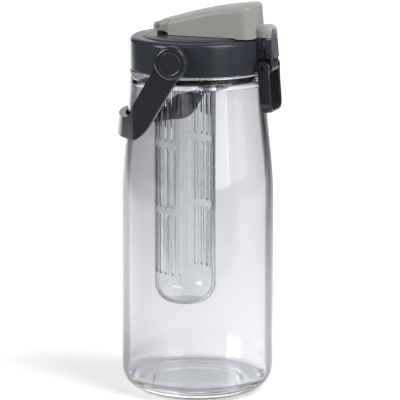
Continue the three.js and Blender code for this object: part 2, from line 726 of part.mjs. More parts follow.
function tongue() {
  const bottom = SHOULDER_TOP + TONGUE_UNDERCUT - CLEAR;
  const top = DECK_Z + TONGUE_RISE;
  const centreX = TONGUE_END_X - TONGUE_ROUND;
  const outline = [
    [COVER_END_X - COVER_WALL, COVER_BOTTOM],
    [COVER_END_X, COVER_BOTTOM],
    [COVER_END_X + COVER_WALL, bottom],
    [TONGUE_END_X, bottom],
    ...arc(centreX, top - TONGUE_ROUND, TONGUE_ROUND, 0, 90, 5),
    [COVER_END_X - COVER_WALL, top],
  ];
  const edgeY = TONGUE_HALF_WIDTH - TONGUE_EDGE;
  const front = [
    [-TONGUE_HALF_WIDTH, bottom - 1],
    [TONGUE_HALF_WIDTH, bottom - 1],
    ...arc(edgeY, top - TONGUE_EDGE, TONGUE_EDGE, 0, 90, 4),
    ...arc(-edgeY, top - TONGUE_EDGE, TONGUE_EDGE, 90, 180, 4),
  ];
  const recessLow = Math.min(bottom, BUTTON_TOP_ARC_Z) - 1;
  const recess = [
    [-LATCH_POCKET_HALF_WIDTH, recessLow],
    [LATCH_POCKET_HALF_WIDTH, recessLow],
    ...arc(0, BUTTON_TOP_ARC_Z, LATCH_POCKET_HALF_WIDTH, 0, 180, 12),
  ];
  const recessX = BUTTON_BACK_X - BUTTON_NOSE_LENGTH - BUTTON_NOSE_PLAY;
  const bar = sidePlate(outline, -TONGUE_HALF_WIDTH, TONGUE_HALF_WIDTH);
  return bar
    .intersect(frontPlate(front, COVER_END_X - 2 * COVER_WALL, TONGUE_END_X + 1))
    .subtract(frontPlate(recess, recessX, TONGUE_END_X + 1))
    .warp(latchLean);
}

const PLUG_TOP = SPOUT_TOP + CLEAR + PLUG_FLANGE;

function plugBoss() {
  const top = DECK_Z + COVER_HIGH_RISE - COVER_ROOF + EMBED;
  return ring(SPOUT_BORE / 2, SPOUT_BORE, PLUG_TOP + CLEAR, top, SPOUT_X);
}

function coverSeal() {
  const plug = SPOUT_BORE - PLUG_PLAY;
  return turned(
    [
      [0, SPOUT_TOP - PLUG_DEPTH],
      [plug - 1, SPOUT_TOP - PLUG_DEPTH],
      [plug, SPOUT_TOP - PLUG_DEPTH + 1],
      [plug, SPOUT_TOP + CLEAR],
      [SPOUT_RADIUS, SPOUT_TOP + CLEAR],
      [SPOUT_RADIUS, PLUG_TOP],
      [0, PLUG_TOP],
    ],
    SPOUT_X,
  );
}

function hingeSpring() {
  const half = LUG_OUTER - LUG_WIDTH - CLEAR;
  const coil = HINGE_PIN_RADIUS + PIN_FIT + SPRING_WIRE / 2;
  const along = (a, b, s) => [HINGE_X + a, s - half + SPRING_WIRE, HINGE_Z + b];
  return spring("hinge_spring", along, coil, 2 * (half - SPRING_WIRE), 6);
}

// Rocker button: an oval plate between the cheeks, a stem to its pin and a catch nose.
function releaseButton() {
  const oval = new THREE.Shape();
  oval.absarc(0, BUTTON_TOP_ARC_Z, BUTTON_RADIUS, 0, Math.PI);
  oval.absarc(0, BUTTON_LOW_ARC_Z, BUTTON_RADIUS, Math.PI, 2 * Math.PI);
  const plate = frontPlate(oval, BUTTON_BACK_X, BUTTON_BACK_X + BUTTON_THICKNESS);
  const half = LATCH_POCKET_HALF_WIDTH - CLEAR;
  const stem = block(
    [BUTTON_PIN_X, -half, BUTTON_PIN_Z - BUTTON_HUB_RADIUS],
    [BUTTON_BACK_X + EMBED, half, BUTTON_PIN_Z + BUTTON_HUB_RADIUS],
  );
  const hub = crossBar(BUTTON_HUB_RADIUS, BUTTON_PIN_X, BUTTON_PIN_Z, -half, half);
  const noseZ = BUTTON_PIN_Z + BUTTON_NOSE_RISE;
  const nose = block(
    [BUTTON_BACK_X - BUTTON_NOSE_LENGTH, -BUTTON_NOSE_HALF_WIDTH, noseZ - BUTTON_NOSE_HEIGHT / 2],
    [BUTTON_BACK_X + EMBED, BUTTON_NOSE_HALF_WIDTH, noseZ + BUTTON_NOSE_HEIGHT / 2],
  );
  const hole = crossBar(BUTTON_PIN_RADIUS + PIN_FIT, BUTTON_PIN_X, BUTTON_PIN_Z, -half - 1, half + 1);
  return plate.add(stem).add(nose).warp(latchLean).add(hub).subtract(hole);
}

function buttonSpring() {
  const start = LATCH_POCKET_BACK_X + CLEAR + SPRING_WIRE / 2;
  const z = BUTTON_PIN_Z - BUTTON_SPRING_DROP;
  const face = BUTTON_BACK_X - setBack(z + BUTTON_SPRING_RADIUS + SPRING_WIRE);
  const length = face - CLEAR - SPRING_WIRE / 2 - start;
  const along = (a, b, s) => [start + s, a, z + b];
  return spring("button_spring", along, BUTTON_SPRING_RADIUS, length, BUTTON_SPRING_COILS);
}

// Lock loop: a U strap that hangs from its pin with a slight lean outwards.
function lockLoop() {
  const outline = [
    ...arc(0, 0, LOOP_EYE_RADIUS, 180, 0, 10),
    [LOOP_HALF, -LOOP_NECK],
    ...arc(LOOP_HALF - LOOP_TIP_ROUND, LOOP_TIP_ROUND - LOOP_LENGTH, LOOP_TIP_ROUND, 0, -90, 4),
    ...arc(LOOP_TIP_ROUND - LOOP_HALF, LOOP_TIP_ROUND - LOOP_LENGTH, LOOP_TIP_ROUND, -90, -180, 4),
    [-LOOP_HALF, -LOOP_NECK],
  ];
  const side = sidePlate(outline, -LOOP_OUTER, LOOP_OUTER);
  const low = -LOOP_LENGTH;
  const top = LOOP_EYE_RADIUS + 1;
  const strap = new THREE.Shape();
  const turn = LOOP_OUTER - LOOP_CORNER;
  const innerTurn = LOOP_INNER - LOOP_INNER_CORNER;
  const innerLow = low + LOOP_BAR + LOOP_INNER_CORNER;
  strap.moveTo(-LOOP_OUTER, top);
  strap.lineTo(-LOOP_OUTER, low + LOOP_CORNER);
  strap.absarc(-turn, low + LOOP_CORNER, LOOP_CORNER, Math.PI, 1.5 * Math.PI);
  strap.absarc(turn, low + LOOP_CORNER, LOOP_CORNER, -Math.PI / 2, 0);
  strap.lineTo(LOOP_OUTER, top);
  strap.lineTo(LOOP_INNER, top);
  strap.lineTo(LOOP_INNER, innerLow);
  strap.absarc(innerTurn, innerLow, LOOP_INNER_CORNER, 0, -Math.PI / 2, true);
  strap.absarc(-innerTurn, innerLow, LOOP_INNER_CORNER, -Math.PI / 2, -Math.PI, true);
  strap.lineTo(-LOOP_INNER, top);
  const band = frontPlate(strap, -LOOP_LENGTH, LOOP_LENGTH);
  const hole = crossBar(LOOP_PIN_RADIUS + PIN_FIT, 0, 0, -LOOP_OUTER - 1, LOOP_OUTER + 1);
  return side
    .intersect(band)
    .subtract(hole)
    .rotate([0, -LOOP_LEAN, 0])
    .translate([LOOP_PIN_X, 0, LOOP_PIN_Z]);
}

// Carry handle: a band that is straight along the lid and bowed round the back of the bottle,
// cut to its side outline, with an eye at each end.
function handleBand() {
  const outer = EYE_INNER_Y + BAND;
  const bow = (radius, y) => Math.asin(y / radius);
  const innerRadius = GRIP_ARC_RADIUS - BAND;
  const front = EYE_RADIUS + 1;
  const plan = new THREE.Shape();
  const outerBow = bow(GRIP_ARC_RADIUS, outer);
  const innerBow = bow(innerRadius, EYE_INNER_Y);
  plan.moveTo(front, outer);
  plan.absarc(GRIP_ARC_X, 0, GRIP_ARC_RADIUS, Math.PI - outerBow, Math.PI + outerBow);
  plan.lineTo(front, -outer);
  plan.lineTo(front, -EYE_INNER_Y);
  plan.absarc(GRIP_ARC_X, 0, innerRadius, Math.PI + innerBow, Math.PI - innerBow, true);
  plan.lineTo(front, EYE_INNER_Y);
  return planPlate(plan, PIVOT_Z - GRIP_DROP - 1, PIVOT_Z + EYE_RADIUS);
}

// The bow leans in towards its top, along the bottle's shoulder.
function gripSlant(point) {
  const rise = (point[2] - PIVOT_Z + GRIP_DROP) / GRIP_HEIGHT;
  const share = (-point[0] - GRIP_SLANT_START) / GRIP_SLANT_SPAN;
  point[0] += GRIP_SLANT * THREE.MathUtils.clamp(rise, 0, 1) * THREE.MathUtils.clamp(share, 0, 1);
}

function handleSide() {
  const lean = THREE.MathUtils.degToRad(ARM_LEAN);
  const along = (s, across) => [
    ARM_OFFSET - s * Math.sin(lean) + across * Math.cos(lean),
    PIVOT_Z - s * Math.cos(lean) - across * Math.sin(lean),
  ];
  const gripLow = PIVOT_Z - GRIP_DROP;
  const gripTop = gripLow + GRIP_HEIGHT;
  const upper = [along(0, -ARM_TOP_WIDTH / 2), along(ARM_LENGTH, -ARM_LOW_WIDTH / 2)];
  const lower = [along(0, ARM_TOP_WIDTH / 2), along(ARM_LENGTH, ARM_LOW_WIDTH / 2)];
  const meet = ([a, b], z) => [a[0] + ((b[0] - a[0]) * (z - a[1])) / (b[1] - a[1]), z];
  const bend = GRIP_HEIGHT / 2;
  const inner = meet(upper, gripTop);
  const outer = meet(lower, gripLow);
  const back = GRIP_ARC_X - GRIP_ARC_RADIUS - 1;
  const shape = new THREE.Shape();
  shape.moveTo(...lower[0]);
  shape.lineTo(...upper[0]);
  shape.lineTo(...meet(upper, gripTop + bend));
  shape.quadraticCurveTo(...inner, inner[0] - bend, gripTop);
  shape.lineTo(back, gripTop);
  shape.lineTo(back, gripLow);
  shape.lineTo(outer[0] - bend, gripLow);
  shape.quadraticCurveTo(...outer, ...meet(lower, gripLow + GRIP_HEIGHT * 0.8));
  const reach = EYE_OUTER_Y + 1;
  return sidePlate(shape, -reach, reach);
}

function carryHandle() {
  const eye = pivotTurned([
    [0, EYE_INNER_Y],
    [EYE_RADIUS, EYE_INNER_Y],
    [EYE_RADIUS, EYE_OUTER_Y - EYE_BEVEL],
    [EYE_RADIUS - EYE_BEVEL, EYE_OUTER_Y],
    [0, EYE_OUTER_Y],
  ]);
  const bore = pivotTurned([
    [0, EYE_INNER_Y - 1],
    [JOURNAL_RADIUS + PIN_FIT, EYE_INNER_Y - 1],
    [JOURNAL_RADIUS + PIN_FIT, EYE_INNER_Y + EYE_LIP],
    [CAP_SEAT_RADIUS, EYE_INNER_Y + EYE_LIP],
    [CAP_SEAT_RADIUS, EYE_OUTER_Y + 1],
    [0, EYE_OUTER_Y + 1],
  ]);
  return handleBand()
    .intersect(handleSide())
    .warp(gripSlant)
    .add(eye)
    .add(mirrored(eye))
    .subtract(bore)
    .subtract(mirrored(bore));
}

function handleCap() {
  const radius = CAP_SEAT_RADIUS - CLEAR;
  const face = EYE_OUTER_Y + CAP_PROUD;
  const inside = face - CAP_THICKNESS;
  const skirt = WASHER_Y + WASHER_THICKNESS + CLEAR;
  return pivotTurned([
    [0, face],
    [radius - CAP_PROUD, face],
    [radius, face - CAP_PROUD],
    [radius, skirt],
    [radius - CAP_SKIRT, skirt],
    [radius - CAP_SKIRT, inside],
    [0, inside],
  ]);
}

function handleWasher() {
  const bore = SCREW_RADIUS + PIN_FIT;
  const radius = CAP_SEAT_RADIUS - CLEAR;
  const far = WASHER_Y + WASHER_THICKNESS;
  return pivotTurned([[bore, WASHER_Y], [radius, WASHER_Y], [radius, far], [bore, far], [bore, WASHER_Y]]);
}

function handleScrew() {
  return pivotTurned(
    [
      [0, HEAD_Y - SCREW_LENGTH],
      [SCREW_RADIUS, HEAD_Y - SCREW_LENGTH + 1],
      [SCREW_RADIUS, HEAD_Y],
      [SCREW_HEAD_RADIUS, HEAD_Y],
      [SCREW_HEAD_RADIUS - CLEAR, HEAD_Y + SCREW_HEAD_HEIGHT],
      [0, HEAD_Y + SCREW_HEAD_HEIGHT],
    ],
    16,
  );
}

// Infuser basket: a tube with a rounded foot, two panels of slots in tiers and a bayonet top.
function infuserBasket() {
  const bore = INFUSER_RADIUS - INFUSER_WALL;
  const heelX = INFUSER_RADIUS - INFUSER_HEEL;
  const heelZ = INFUSER_BOTTOM + INFUSER_HEEL;
  const profile = [
    [0, INFUSER_BOTTOM],
    ...arc(heelX, heelZ, INFUSER_HEEL, -90, 0, 5),
    [INFUSER_RADIUS, INFUSER_TOP],
    [bore, INFUSER_TOP],
    ...arc(heelX, heelZ, INFUSER_HEEL - INFUSER_WALL, 0, -90, 4),
    [0, INFUSER_BOTTOM + INFUSER_WALL],
  ];
  let tube = turned(profile, 0);
  const across = INFUSER_RADIUS + 1;
  for (let tier = 0; tier < SLOT_TIERS; tier++)
    for (let i = 0; i < SLOT_COUNT; i++) {
      const low = INFUSER_BOTTOM + SLOT_FOOT + tier * (SLOT_HEIGHT + SLOT_BRIDGE);
      const angle = SLOT_CENTRE + (i - (SLOT_COUNT - 1) / 2) * SLOT_STEP;
      const cut = block([-across, -SLOT_WIDTH / 2, low], [across, SLOT_WIDTH / 2, low + SLOT_HEIGHT]);
      tube = tube.subtract(cut.rotate([0, 0, angle]));
    }
  return tube
    .subtract(bayonetTrack())
    .subtract(bayonetTrack().rotate([0, 0, 180]))
    .translate([INFUSER_X, 0, 0]);
}

// The way of one lug: along the wall from where it is locked, then up to the rim.
function bayonetTrack() {
  const half = LUG_LENGTH / 2 + CLEAR;
  const low = DECK_UNDER - LUG_DROP - LUG_HEIGHT / 2 - CLEAR;
  const high = low + LUG_HEIGHT + 2 * CLEAR;
  const near = INFUSER_RADIUS - INFUSER_WALL - 1;
  const far = INFUSER_RADIUS + 1;
  const steps = 4;
  let track = block([-half, near, low], [half, far, INFUSER_TOP + 1]).rotate([0, 0, -TWIST]);
  for (let i = 0; i < steps; i++) {
    const stop = block([-half, near, low], [half, far, high]);
    track = track.add(stop.rotate([0, 0, (-TWIST * i) / steps]));
  }
  return track;
}

// The pieces
let lid = lidShell();
lid = withSpout(lid);
lid = withHingeLugs(lid);
lid = withLatchHousing(lid);
lid = withJournals(lid);
lid = withCollar(lid);
const gasketInner = NECK_RADIUS - NECK_WALL - GASKET_OVERHANG;
const gasketOuter = NECK_RADIUS + GASKET_OVERHANG;

piece("bottle_body", bottleBody(), clearPlastic());
piece("lid_body", lid, lidPlastic());
piece("lid_gasket", ring(gasketInner, gasketOuter, GASKET_Z, GASKET_Z + GASKET_HEIGHT), silicone());
piece("flip_cover", flipCover(), coverPlastic());
piece("cover_seal", coverSeal(), silicone());
piece(
  "hinge_pin",
  crossBar(HINGE_PIN_RADIUS, HINGE_X, HINGE_Z, -KNUCKLE_HALF_SPAN, KNUCKLE_HALF_SPAN),
  steel(),
);
piece("hinge_spring", hingeSpring(), steel());
piece("release_button", releaseButton(), buttonPlastic());
piece(
  "button_pin",
  crossBar(BUTTON_PIN_RADIUS, BUTTON_PIN_X, BUTTON_PIN_Z, -BUTTON_PIN_HALF, BUTTON_PIN_HALF),
  steel(),
);
piece("button_spring", buttonSpring(), steel());
piece("lock_loop", lockLoop(), handlePlastic());
piece(
  "lock_pin",
  crossBar(LOOP_PIN_RADIUS, LOOP_PIN_X, LOOP_PIN_Z, -LOOP_PIN_HALF, LOOP_PIN_HALF),
  steel(),
);
piece("carry_handle", carryHandle(), handlePlastic());
for (const [end, placed] of [["left", mirrored], ["right", (made) => made]]) {
  piece("handle_cap_" + end, placed(handleCap()), handlePlastic());
  piece("handle_washer_" + end, placed(handleWasher()), steel());
  piece("handle_screw_" + end, placed(handleScrew()), steel());
}
piece("infuser_basket", infuserBasket(), clearPlastic());

export default pitcher;
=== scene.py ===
# A clear infuser pitcher with a screw lid, a flip cover, a rocker latch, a carry handle and an
# infuser basket. Meshes are drawn in millimetres and brought to metres when a piece is finished.
import math

import bmesh
import bpy
from mathutils import Matrix, Vector
from mathutils.geometry import interpolate_bezier


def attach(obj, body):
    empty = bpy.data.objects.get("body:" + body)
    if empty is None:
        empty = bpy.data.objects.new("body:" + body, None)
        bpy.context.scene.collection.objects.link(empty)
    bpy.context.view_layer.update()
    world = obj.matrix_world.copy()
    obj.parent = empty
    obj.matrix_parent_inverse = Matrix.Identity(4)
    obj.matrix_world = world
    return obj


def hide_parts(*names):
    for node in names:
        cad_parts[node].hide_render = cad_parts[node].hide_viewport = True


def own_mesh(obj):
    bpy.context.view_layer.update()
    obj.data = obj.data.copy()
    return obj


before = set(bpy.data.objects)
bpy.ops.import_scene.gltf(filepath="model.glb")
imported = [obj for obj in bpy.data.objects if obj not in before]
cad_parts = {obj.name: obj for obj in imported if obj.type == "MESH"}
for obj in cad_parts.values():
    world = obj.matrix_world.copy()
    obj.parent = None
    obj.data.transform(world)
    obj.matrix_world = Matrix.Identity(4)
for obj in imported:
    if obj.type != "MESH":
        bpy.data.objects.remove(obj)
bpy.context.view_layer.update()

# Bottle: the clear vessel, moulded from copolyester in one piece, with a heavy heel, a hollow under
# its foot and a screw neck for the lid.
MM = 0.001
FULL_TURN = 2 * math.pi
BODY_RADIUS = 56
BODY_WALL = 2.6
HEEL_RADIUS = 18
FOOT_WIDTH = 5
FOOT_ROUND = 1
PUNT_HEIGHT = 3
PUNT_ROUND = 2
FLOOR_HEIGHT = 9.5
INNER_HEEL_RADIUS = 5
SHOULDER_START = 140
SHOULDER_END = 236
SHOULDER_RADIUS = 49.4
SHOULDER_PULL_LOW = 175
SHOULDER_PULL_HIGH = (50.2, 195)
SHOULDER_POINTS = 32
INNER_SHOULDER_END = 230.8
LEDGE_Z = 238.6
LEDGE_ROUND = 1
NECK_RADIUS = 44.6
MOUTH_RADIUS = 42
THROAT_ROUND = 2
RIM_Z = 257.5
RIM_ROUND = 0.7
SOFT_ROUND = 0.6
THREAD_PITCH = 5
THREAD_TURNS = 1.25
THREAD_REACH = 1.3
THREAD_ROOT = 2.2
THREAD_CREST = 1.1
THREAD_START = LEDGE_Z + 5.2
WALL_SINK = 0.6
SAME_POINT = 1e-4
NO_LENGTH = 1e-5
JOIN_GAP = 1e-3


def linear(hex_colour):
    """An sRGB hex colour as linear red, green, blue and alpha."""
    channels = [int(hex_colour[i:i + 2], 16) / 255 for i in (1, 3, 5)]
    return tuple(c / 12.92 if c < 0.04045 else ((c + 0.055) / 1.055) ** 2.4 for c in channels) + (1,)


def add(tree, kind, inputs=None, **settings):
    """Adds a node with its settings; an input is a value, a socket or a node's first open socket."""
    node = tree.nodes.new(kind)
    for name, value in settings.items():
        setattr(node, name, value)
    for name, value in (inputs or {}).items():
        if isinstance(value, bpy.types.Node):
            value = next(socket for socket in value.outputs if socket.enabled)
        if isinstance(value, bpy.types.NodeSocket):
            tree.links.new(value, node.inputs[name])
        else:
            node.inputs[name].default_value = value
    return node


def new_finish(name):
    """An empty material and its node tree."""
    finish = bpy.data.materials.new(name)
    finish.use_nodes = True
    finish.node_tree.nodes.clear()
    return finish, finish.node_tree


def outline(points, place):
    """A drawn outline: each point is two sizes and, if its corner is rounded, the rounding."""
    shape = bmesh.new()
    corners = [shape.verts.new(place(p[0], p[1])) for p in points]
    for start, end in zip(corners, corners[1:]):
        shape.edges.new((start, end))
    return shape, corners


def round_corners(shape, corners, points, segments=6):
    """Rounds each corner of an outline whose point gives a rounding."""
    for corner, point in zip(corners, points):
        if len(point) == 3:
            bmesh.ops.bevel(
                shape, geom=[corner], offset=point[2], segments=segments, profile=0.5,
                affect="VERTICES", material=-1,
            )


def whole(shape):
    """All that a shape is drawn of."""
    return shape.verts[:] + shape.edges[:] + shape.faces[:]


def turned(points, steps=128, closed=False):
    """A solid of revolution about Z from an outline of radius and height."""
    shape, corners = outline(points, lambda radius, height: (radius, 0, height))
    if closed:
        shape.edges.new((corners[-1], corners[0]))
    round_corners(shape, corners, points)
    bmesh.ops.spin(
        shape, geom=whole(shape), cent=(0, 0, 0), axis=(0, 0, 1), angle=FULL_TURN, steps=steps,
        use_merge=True,
    )
    bmesh.ops.remove_doubles(shape, verts=shape.verts, dist=SAME_POINT)
    bmesh.ops.dissolve_degenerate(shape, edges=shape.edges, dist=NO_LENGTH)
    bmesh.ops.recalc_face_normals(shape, faces=shape.faces)
    return shape


def in_scene(name, data):
    """A new object in the scene."""
    thing = bpy.data.objects.new(name, data)
    bpy.context.scene.collection.objects.link(thing)
    return thing


def meshed(name, shape):
    """A shape made the mesh of a new object."""
    mesh = bpy.data.meshes.new(name)
    shape.to_mesh(mesh)
    shape.free()
    return in_scene(name, mesh)


def combined(base, operation, *tools):
    """A closed shape with others joined to it, cut from it or crossed with it, one after another."""
    for tool in tools:
        holders = [meshed("shape", shape) for shape in (base, tool)]
        cutter = holders[0].modifiers.new("combine", "BOOLEAN")
        cutter.operation = operation
        cutter.solver = "EXACT"
        cutter.object = holders[1]
        base = bmesh.new()
        base.from_object(holders[0], bpy.context.evaluated_depsgraph_get())
        for holder in holders:
            bpy.data.meshes.remove(holder.data)
        bmesh.ops.remove_doubles(base, verts=base.verts, dist=JOIN_GAP)
    return base


def screw_ridge(wall, reach, start_z, steps=120):
    """A screw ridge whose root lies inside the wall and whose crest reaches out of it."""
    root = wall - math.copysign(WALL_SINK, reach)
    section = [
        (root, -THREAD_ROOT / 2), (wall + reach, -THREAD_CREST / 2),
        (wall + reach, THREAD_CREST / 2), (root, THREAD_ROOT / 2),
    ]
    ridge = bmesh.new()
    face = ridge.faces.new([ridge.verts.new((r, 0, start_z + z)) for r, z in section])
    bmesh.ops.spin(
        ridge, geom=[face], cent=(0, 0, 0), axis=(0, 0, 1), angle=FULL_TURN * THREAD_TURNS,
        dvec=(0, 0, THREAD_PITCH * THREAD_TURNS / steps), steps=steps, use_merge=False,
    )
    bmesh.ops.recalc_face_normals(ridge, faces=ridge.faces)
    return ridge


def finished(shape, name, finish, crease=35):
    """The shape as a named object in metres, shaded smooth between creases."""
    bmesh.ops.scale(shape, vec=(MM, MM, MM), verts=shape.verts)
    for face in shape.faces:
        face.smooth = True
    for edge in shape.edges:
        edge.smooth = edge.calc_face_angle(0) < math.radians(crease)
    piece = meshed(name, shape)
    piece.data.materials.append(finish)
    weighted = piece.modifiers.new("weighted_normals", "WEIGHTED_NORMAL")
    weighted.keep_sharp = True
    return piece


def curve_points(start, pull_start, pull_end, end, count):
    """Points of a curve that leaves and reaches its ends towards the two pulls."""
    knots = [Vector((x, y, 0)) for x, y in (start, pull_start, pull_end, end)]
    return [(p.x, p.y) for p in interpolate_bezier(*knots, count)]


# Copolyester, polished: clear with a faint cool cast, paler in the infuser's thin wall, with sharp
# gloss and slow waves from moulding. Painted shade: the colour deepens to grey where the eye looks
# along the wall, less so in the level faces of the base, standing in for the shade at the wall's edges.
WAVE_LENGTH = 45
WAVE_DEPTH = 0.6
WALL_PAINTED_SHADE = "#5A5D60"
WALL_FACING = (0.62, 0.7)
LEVEL_NORMAL = (0.5, 0.95)
LEVEL_PAINTED_SHADE_SHARE = 0.6
clear_finishes = {}
for name, cast in (("clear_copolyester", "#EEEFF1"), ("clear_copolyester_thin", "#F7F8F9")):
    finish, tree = new_finish(name)
    spot = add(tree, "ShaderNodeTexCoord")
    waves = add(
        tree, "ShaderNodeTexNoise",
        {"Vector": spot.outputs["Object"], "Scale": 1 / (WAVE_LENGTH * MM), "Detail": 1.0},
    )
    ripple = add(
        tree, "ShaderNodeBump",
        {"Height": waves, "Strength": 0.05, "Distance": WAVE_DEPTH * MM},
    )
    gloss = add(tree, "ShaderNodeMapRange", {"Value": waves, "To Min": 0.01, "To Max": 0.035})
    # Painted shade: grey mixed into the colour where the view grazes the wall, less in level faces.
    slope = add(tree, "ShaderNodeLayerWeight", {"Blend": 0.5})
    along_wall = add(
        tree, "ShaderNodeMapRange",
        {"Value": slope.outputs["Facing"], "From Min": WALL_FACING[0], "From Max": WALL_FACING[1]},
    )
    normal = add(tree, "ShaderNodeSeparateXYZ", {"Vector": spot.outputs["Normal"]})
    level = add(tree, "ShaderNodeMath", {0: normal.outputs["Z"]}, operation="ABSOLUTE")
    painted_shade_share = add(
        tree, "ShaderNodeMapRange",
        {
            "Value": level, "From Min": LEVEL_NORMAL[0], "From Max": LEVEL_NORMAL[1],
            "To Min": 1.0, "To Max": LEVEL_PAINTED_SHADE_SHARE,
        },
    )
    grey = add(tree, "ShaderNodeMath", {0: along_wall, 1: painted_shade_share}, operation="MULTIPLY")
    tint = add(
        tree, "ShaderNodeMix",
        {"Factor": grey, "A": linear(cast), "B": linear(WALL_PAINTED_SHADE)},
        data_type="RGBA",
    )
    surface = add(
        tree, "ShaderNodeBsdfPrincipled",
        {
            "Base Color": tint, "Roughness": gloss, "IOR": 1.5,
            "Transmission Weight": 1.0, "Normal": ripple,
        },
    )
    add(tree, "ShaderNodeOutputMaterial", {"Surface": surface})
    clear_finishes[name] = finish

foot_radius = BODY_RADIUS - HEEL_RADIUS
inner_radius = BODY_RADIUS - BODY_WALL
pull_radius, pull_z = SHOULDER_PULL_HIGH
outer_shoulder = curve_points(
    (BODY_RADIUS, SHOULDER_START), (BODY_RADIUS, SHOULDER_PULL_LOW), (pull_radius, pull_z),
    (SHOULDER_RADIUS, SHOULDER_END), SHOULDER_POINTS,
)
inner_shoulder = curve_points(
    (inner_radius, SHOULDER_START), (inner_radius, SHOULDER_PULL_LOW), (pull_radius - BODY_WALL, pull_z),
    (SHOULDER_RADIUS - BODY_WALL, INNER_SHOULDER_END), SHOULDER_POINTS,
)
vessel = turned([
    (0, PUNT_HEIGHT),
    (foot_radius - FOOT_WIDTH - PUNT_HEIGHT, PUNT_HEIGHT, PUNT_ROUND),
    (foot_radius - FOOT_WIDTH, 0, FOOT_ROUND),
    (BODY_RADIUS, 0, HEEL_RADIUS),
    *outer_shoulder,
    (SHOULDER_RADIUS, LEDGE_Z, LEDGE_ROUND),
    (NECK_RADIUS, LEDGE_Z, SOFT_ROUND),
    (NECK_RADIUS, RIM_Z, RIM_ROUND),
    (MOUTH_RADIUS, RIM_Z, RIM_ROUND),
    (MOUTH_RADIUS, LEDGE_Z, THROAT_ROUND),
    *reversed(inner_shoulder),
    (inner_radius, FLOOR_HEIGHT, INNER_HEEL_RADIUS),
    (0, FLOOR_HEIGHT),
], steps=144)
vessel = combined(vessel, "UNION", screw_ridge(NECK_RADIUS, THREAD_REACH, THREAD_START))
bottle = finished(vessel, "bottle", clear_finishes["clear_copolyester"])
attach(bottle, "bottle")
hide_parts("bottle_body")

# Lid gasket: a flat ring of milky silicone that lies in the top of the lid and seals on the
# bottle's rim when the lid is screwed down.
GASKET_LOW = 257.8
GASKET_HIGH = 260.2
GASKET_INNER = 41.3
GASKET_OUTER = 45.3
GASKET_ROUND = 0.5

# Silicone, moulded: milky and dull, with light soaking a little way in.
CLOUD_SIZE = 4
SOAK_DEPTH = 2
milky_silicone, tree = new_finish("milky_silicone")
place = add(tree, "ShaderNodeTexCoord").outputs["Object"]
cloud = add(tree, "ShaderNodeTexNoise", {"Vector": place, "Scale": 1 / (CLOUD_SIZE * MM), "Detail": 3.0})
milk = add(
    tree, "ShaderNodeMix",
    {"Factor": cloud, "A": linear("#D2D4D1"), "B": linear("#DFE0DD")},
    data_type="RGBA",
)
surface = add(
    tree, "ShaderNodeBsdfPrincipled",
    {
        "Base Color": milk, "Roughness": 0.55, "IOR": 1.41,
        "Subsurface Weight": 0.3, "Subsurface Radius": (SOAK_DEPTH * MM,) * 3,
    },
)
add(tree, "ShaderNodeOutputMaterial", {"Surface": surface})


def rounded_box(left, right, low, high, rounding):
    """The outline of a box with its four corners rounded."""
    return [(left, low, rounding), (right, low, rounding), (right, high, rounding), (left, high, rounding)]


ring = rounded_box(GASKET_INNER, GASKET_OUTER, GASKET_LOW, GASKET_HIGH, GASKET_ROUND)
gasket = finished(turned(ring, closed=True), "gasket", milky_silicone)
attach(gasket, "gasket")
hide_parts("lid_gasket")

# Lid: one dark moulding that screws onto the neck. It carries the pour spout, the hinge lugs, the
# latch housing, the two journals of the handle and the collar that the infuser hangs on.
LID_RADIUS = 49
LID_BORE = 46.5
LID_BOTTOM = 239.4
LID_SHOULDER = 263.5
LID_EDGE = 3.4
DECK_FLAT = 36.5
DECK_RADIUS = 40.6
DECK_ROUND = 2.4
DECK_FOOT = (0.4, 0.6)
DECK_FOOT_ROUND = 1
DECK_Z = 265
DECK_UNDER = 262.6
LAND_Z = 260.5
LAND_RADIUS = 39
LAND_ROUND = 0.8
SPOUT_X = 29
SPOUT_RADIUS = 11
SPOUT_BORE = 9
SPOUT_TOP = 279.5
SPOUT_LIP = 0.9
HINGE_X = -25.6
HINGE_Z = 270.6
LUG_RADIUS = 2.6
LUG_INNER = 4.6
LUG_OUTER = 8.5
LATCH_HALF = 8.5
LATCH_FRONT_X = 60.3
LATCH_LEAN = math.tan(math.radians(5))
LATCH_TOP = 263.6
LATCH_STEP = 249.7
LATCH_FOOT_HALF = 7.4
LATCH_FOOT_X = 59.8
LATCH_CHAMFER = 2.6
LATCH_TOE_ROUND = 1
LATCH_CHAMFER_ROUND = 2
LATCH_EDGE = 0.8
LATCH_FOOT_WALL = 1.6
LATCH_WEB_HALF = 4.5
POCKET_HALF = 6.9
POCKET_BACK_X = 50.8
POCKET_LOW_ARC = 254.6
PANEL_X = 48.7
PANEL_LENGTH = 6.4
PANEL_TOP = 256
PANEL_DEPTH = 0.5
PANEL_SEAM = 1
PANEL_SEAM_DEPTH = 1.3
BUTTON_PIN = (53.9, 260.7)
LOCK_PIN = (54.8, 243.5)
LOCK_BOSS = 3.4
LOCK_BOSS_END = 8.9
PIVOT_Z = 250.4
PAD_RADIUS = 10.8
PAD_Y = 49.9
JOURNAL_RADIUS = 6.8
JOURNAL_END = 53.5
SCREW_HOLE = 2.1
SCREW_HOLE_END = 47.8
INFUSER_X = -9.5
COLLAR_RADIUS = 20.2
COLLAR_INNER = 18
COLLAR_DEPTH = 13
BAYONET_Z = 253.6
BAYONET_HEIGHT = 3
BAYONET_LENGTH = 4
BAYONET_REACH = 1.4
BUTTON_PIN_HOLE = 1.3
LOCK_PIN_HOLE = 1.5
HINGE_PIN_HOLE = 1.4
HOLE_HALF = 20
MOULD_ROUND = 0.5
EDGE_ROUND = 0.4
TIGHT_ROUND = 0.3
FULL_ROUND = 0.99
OVERSHOOT = 1
CUT_OVERLAP = 0.3


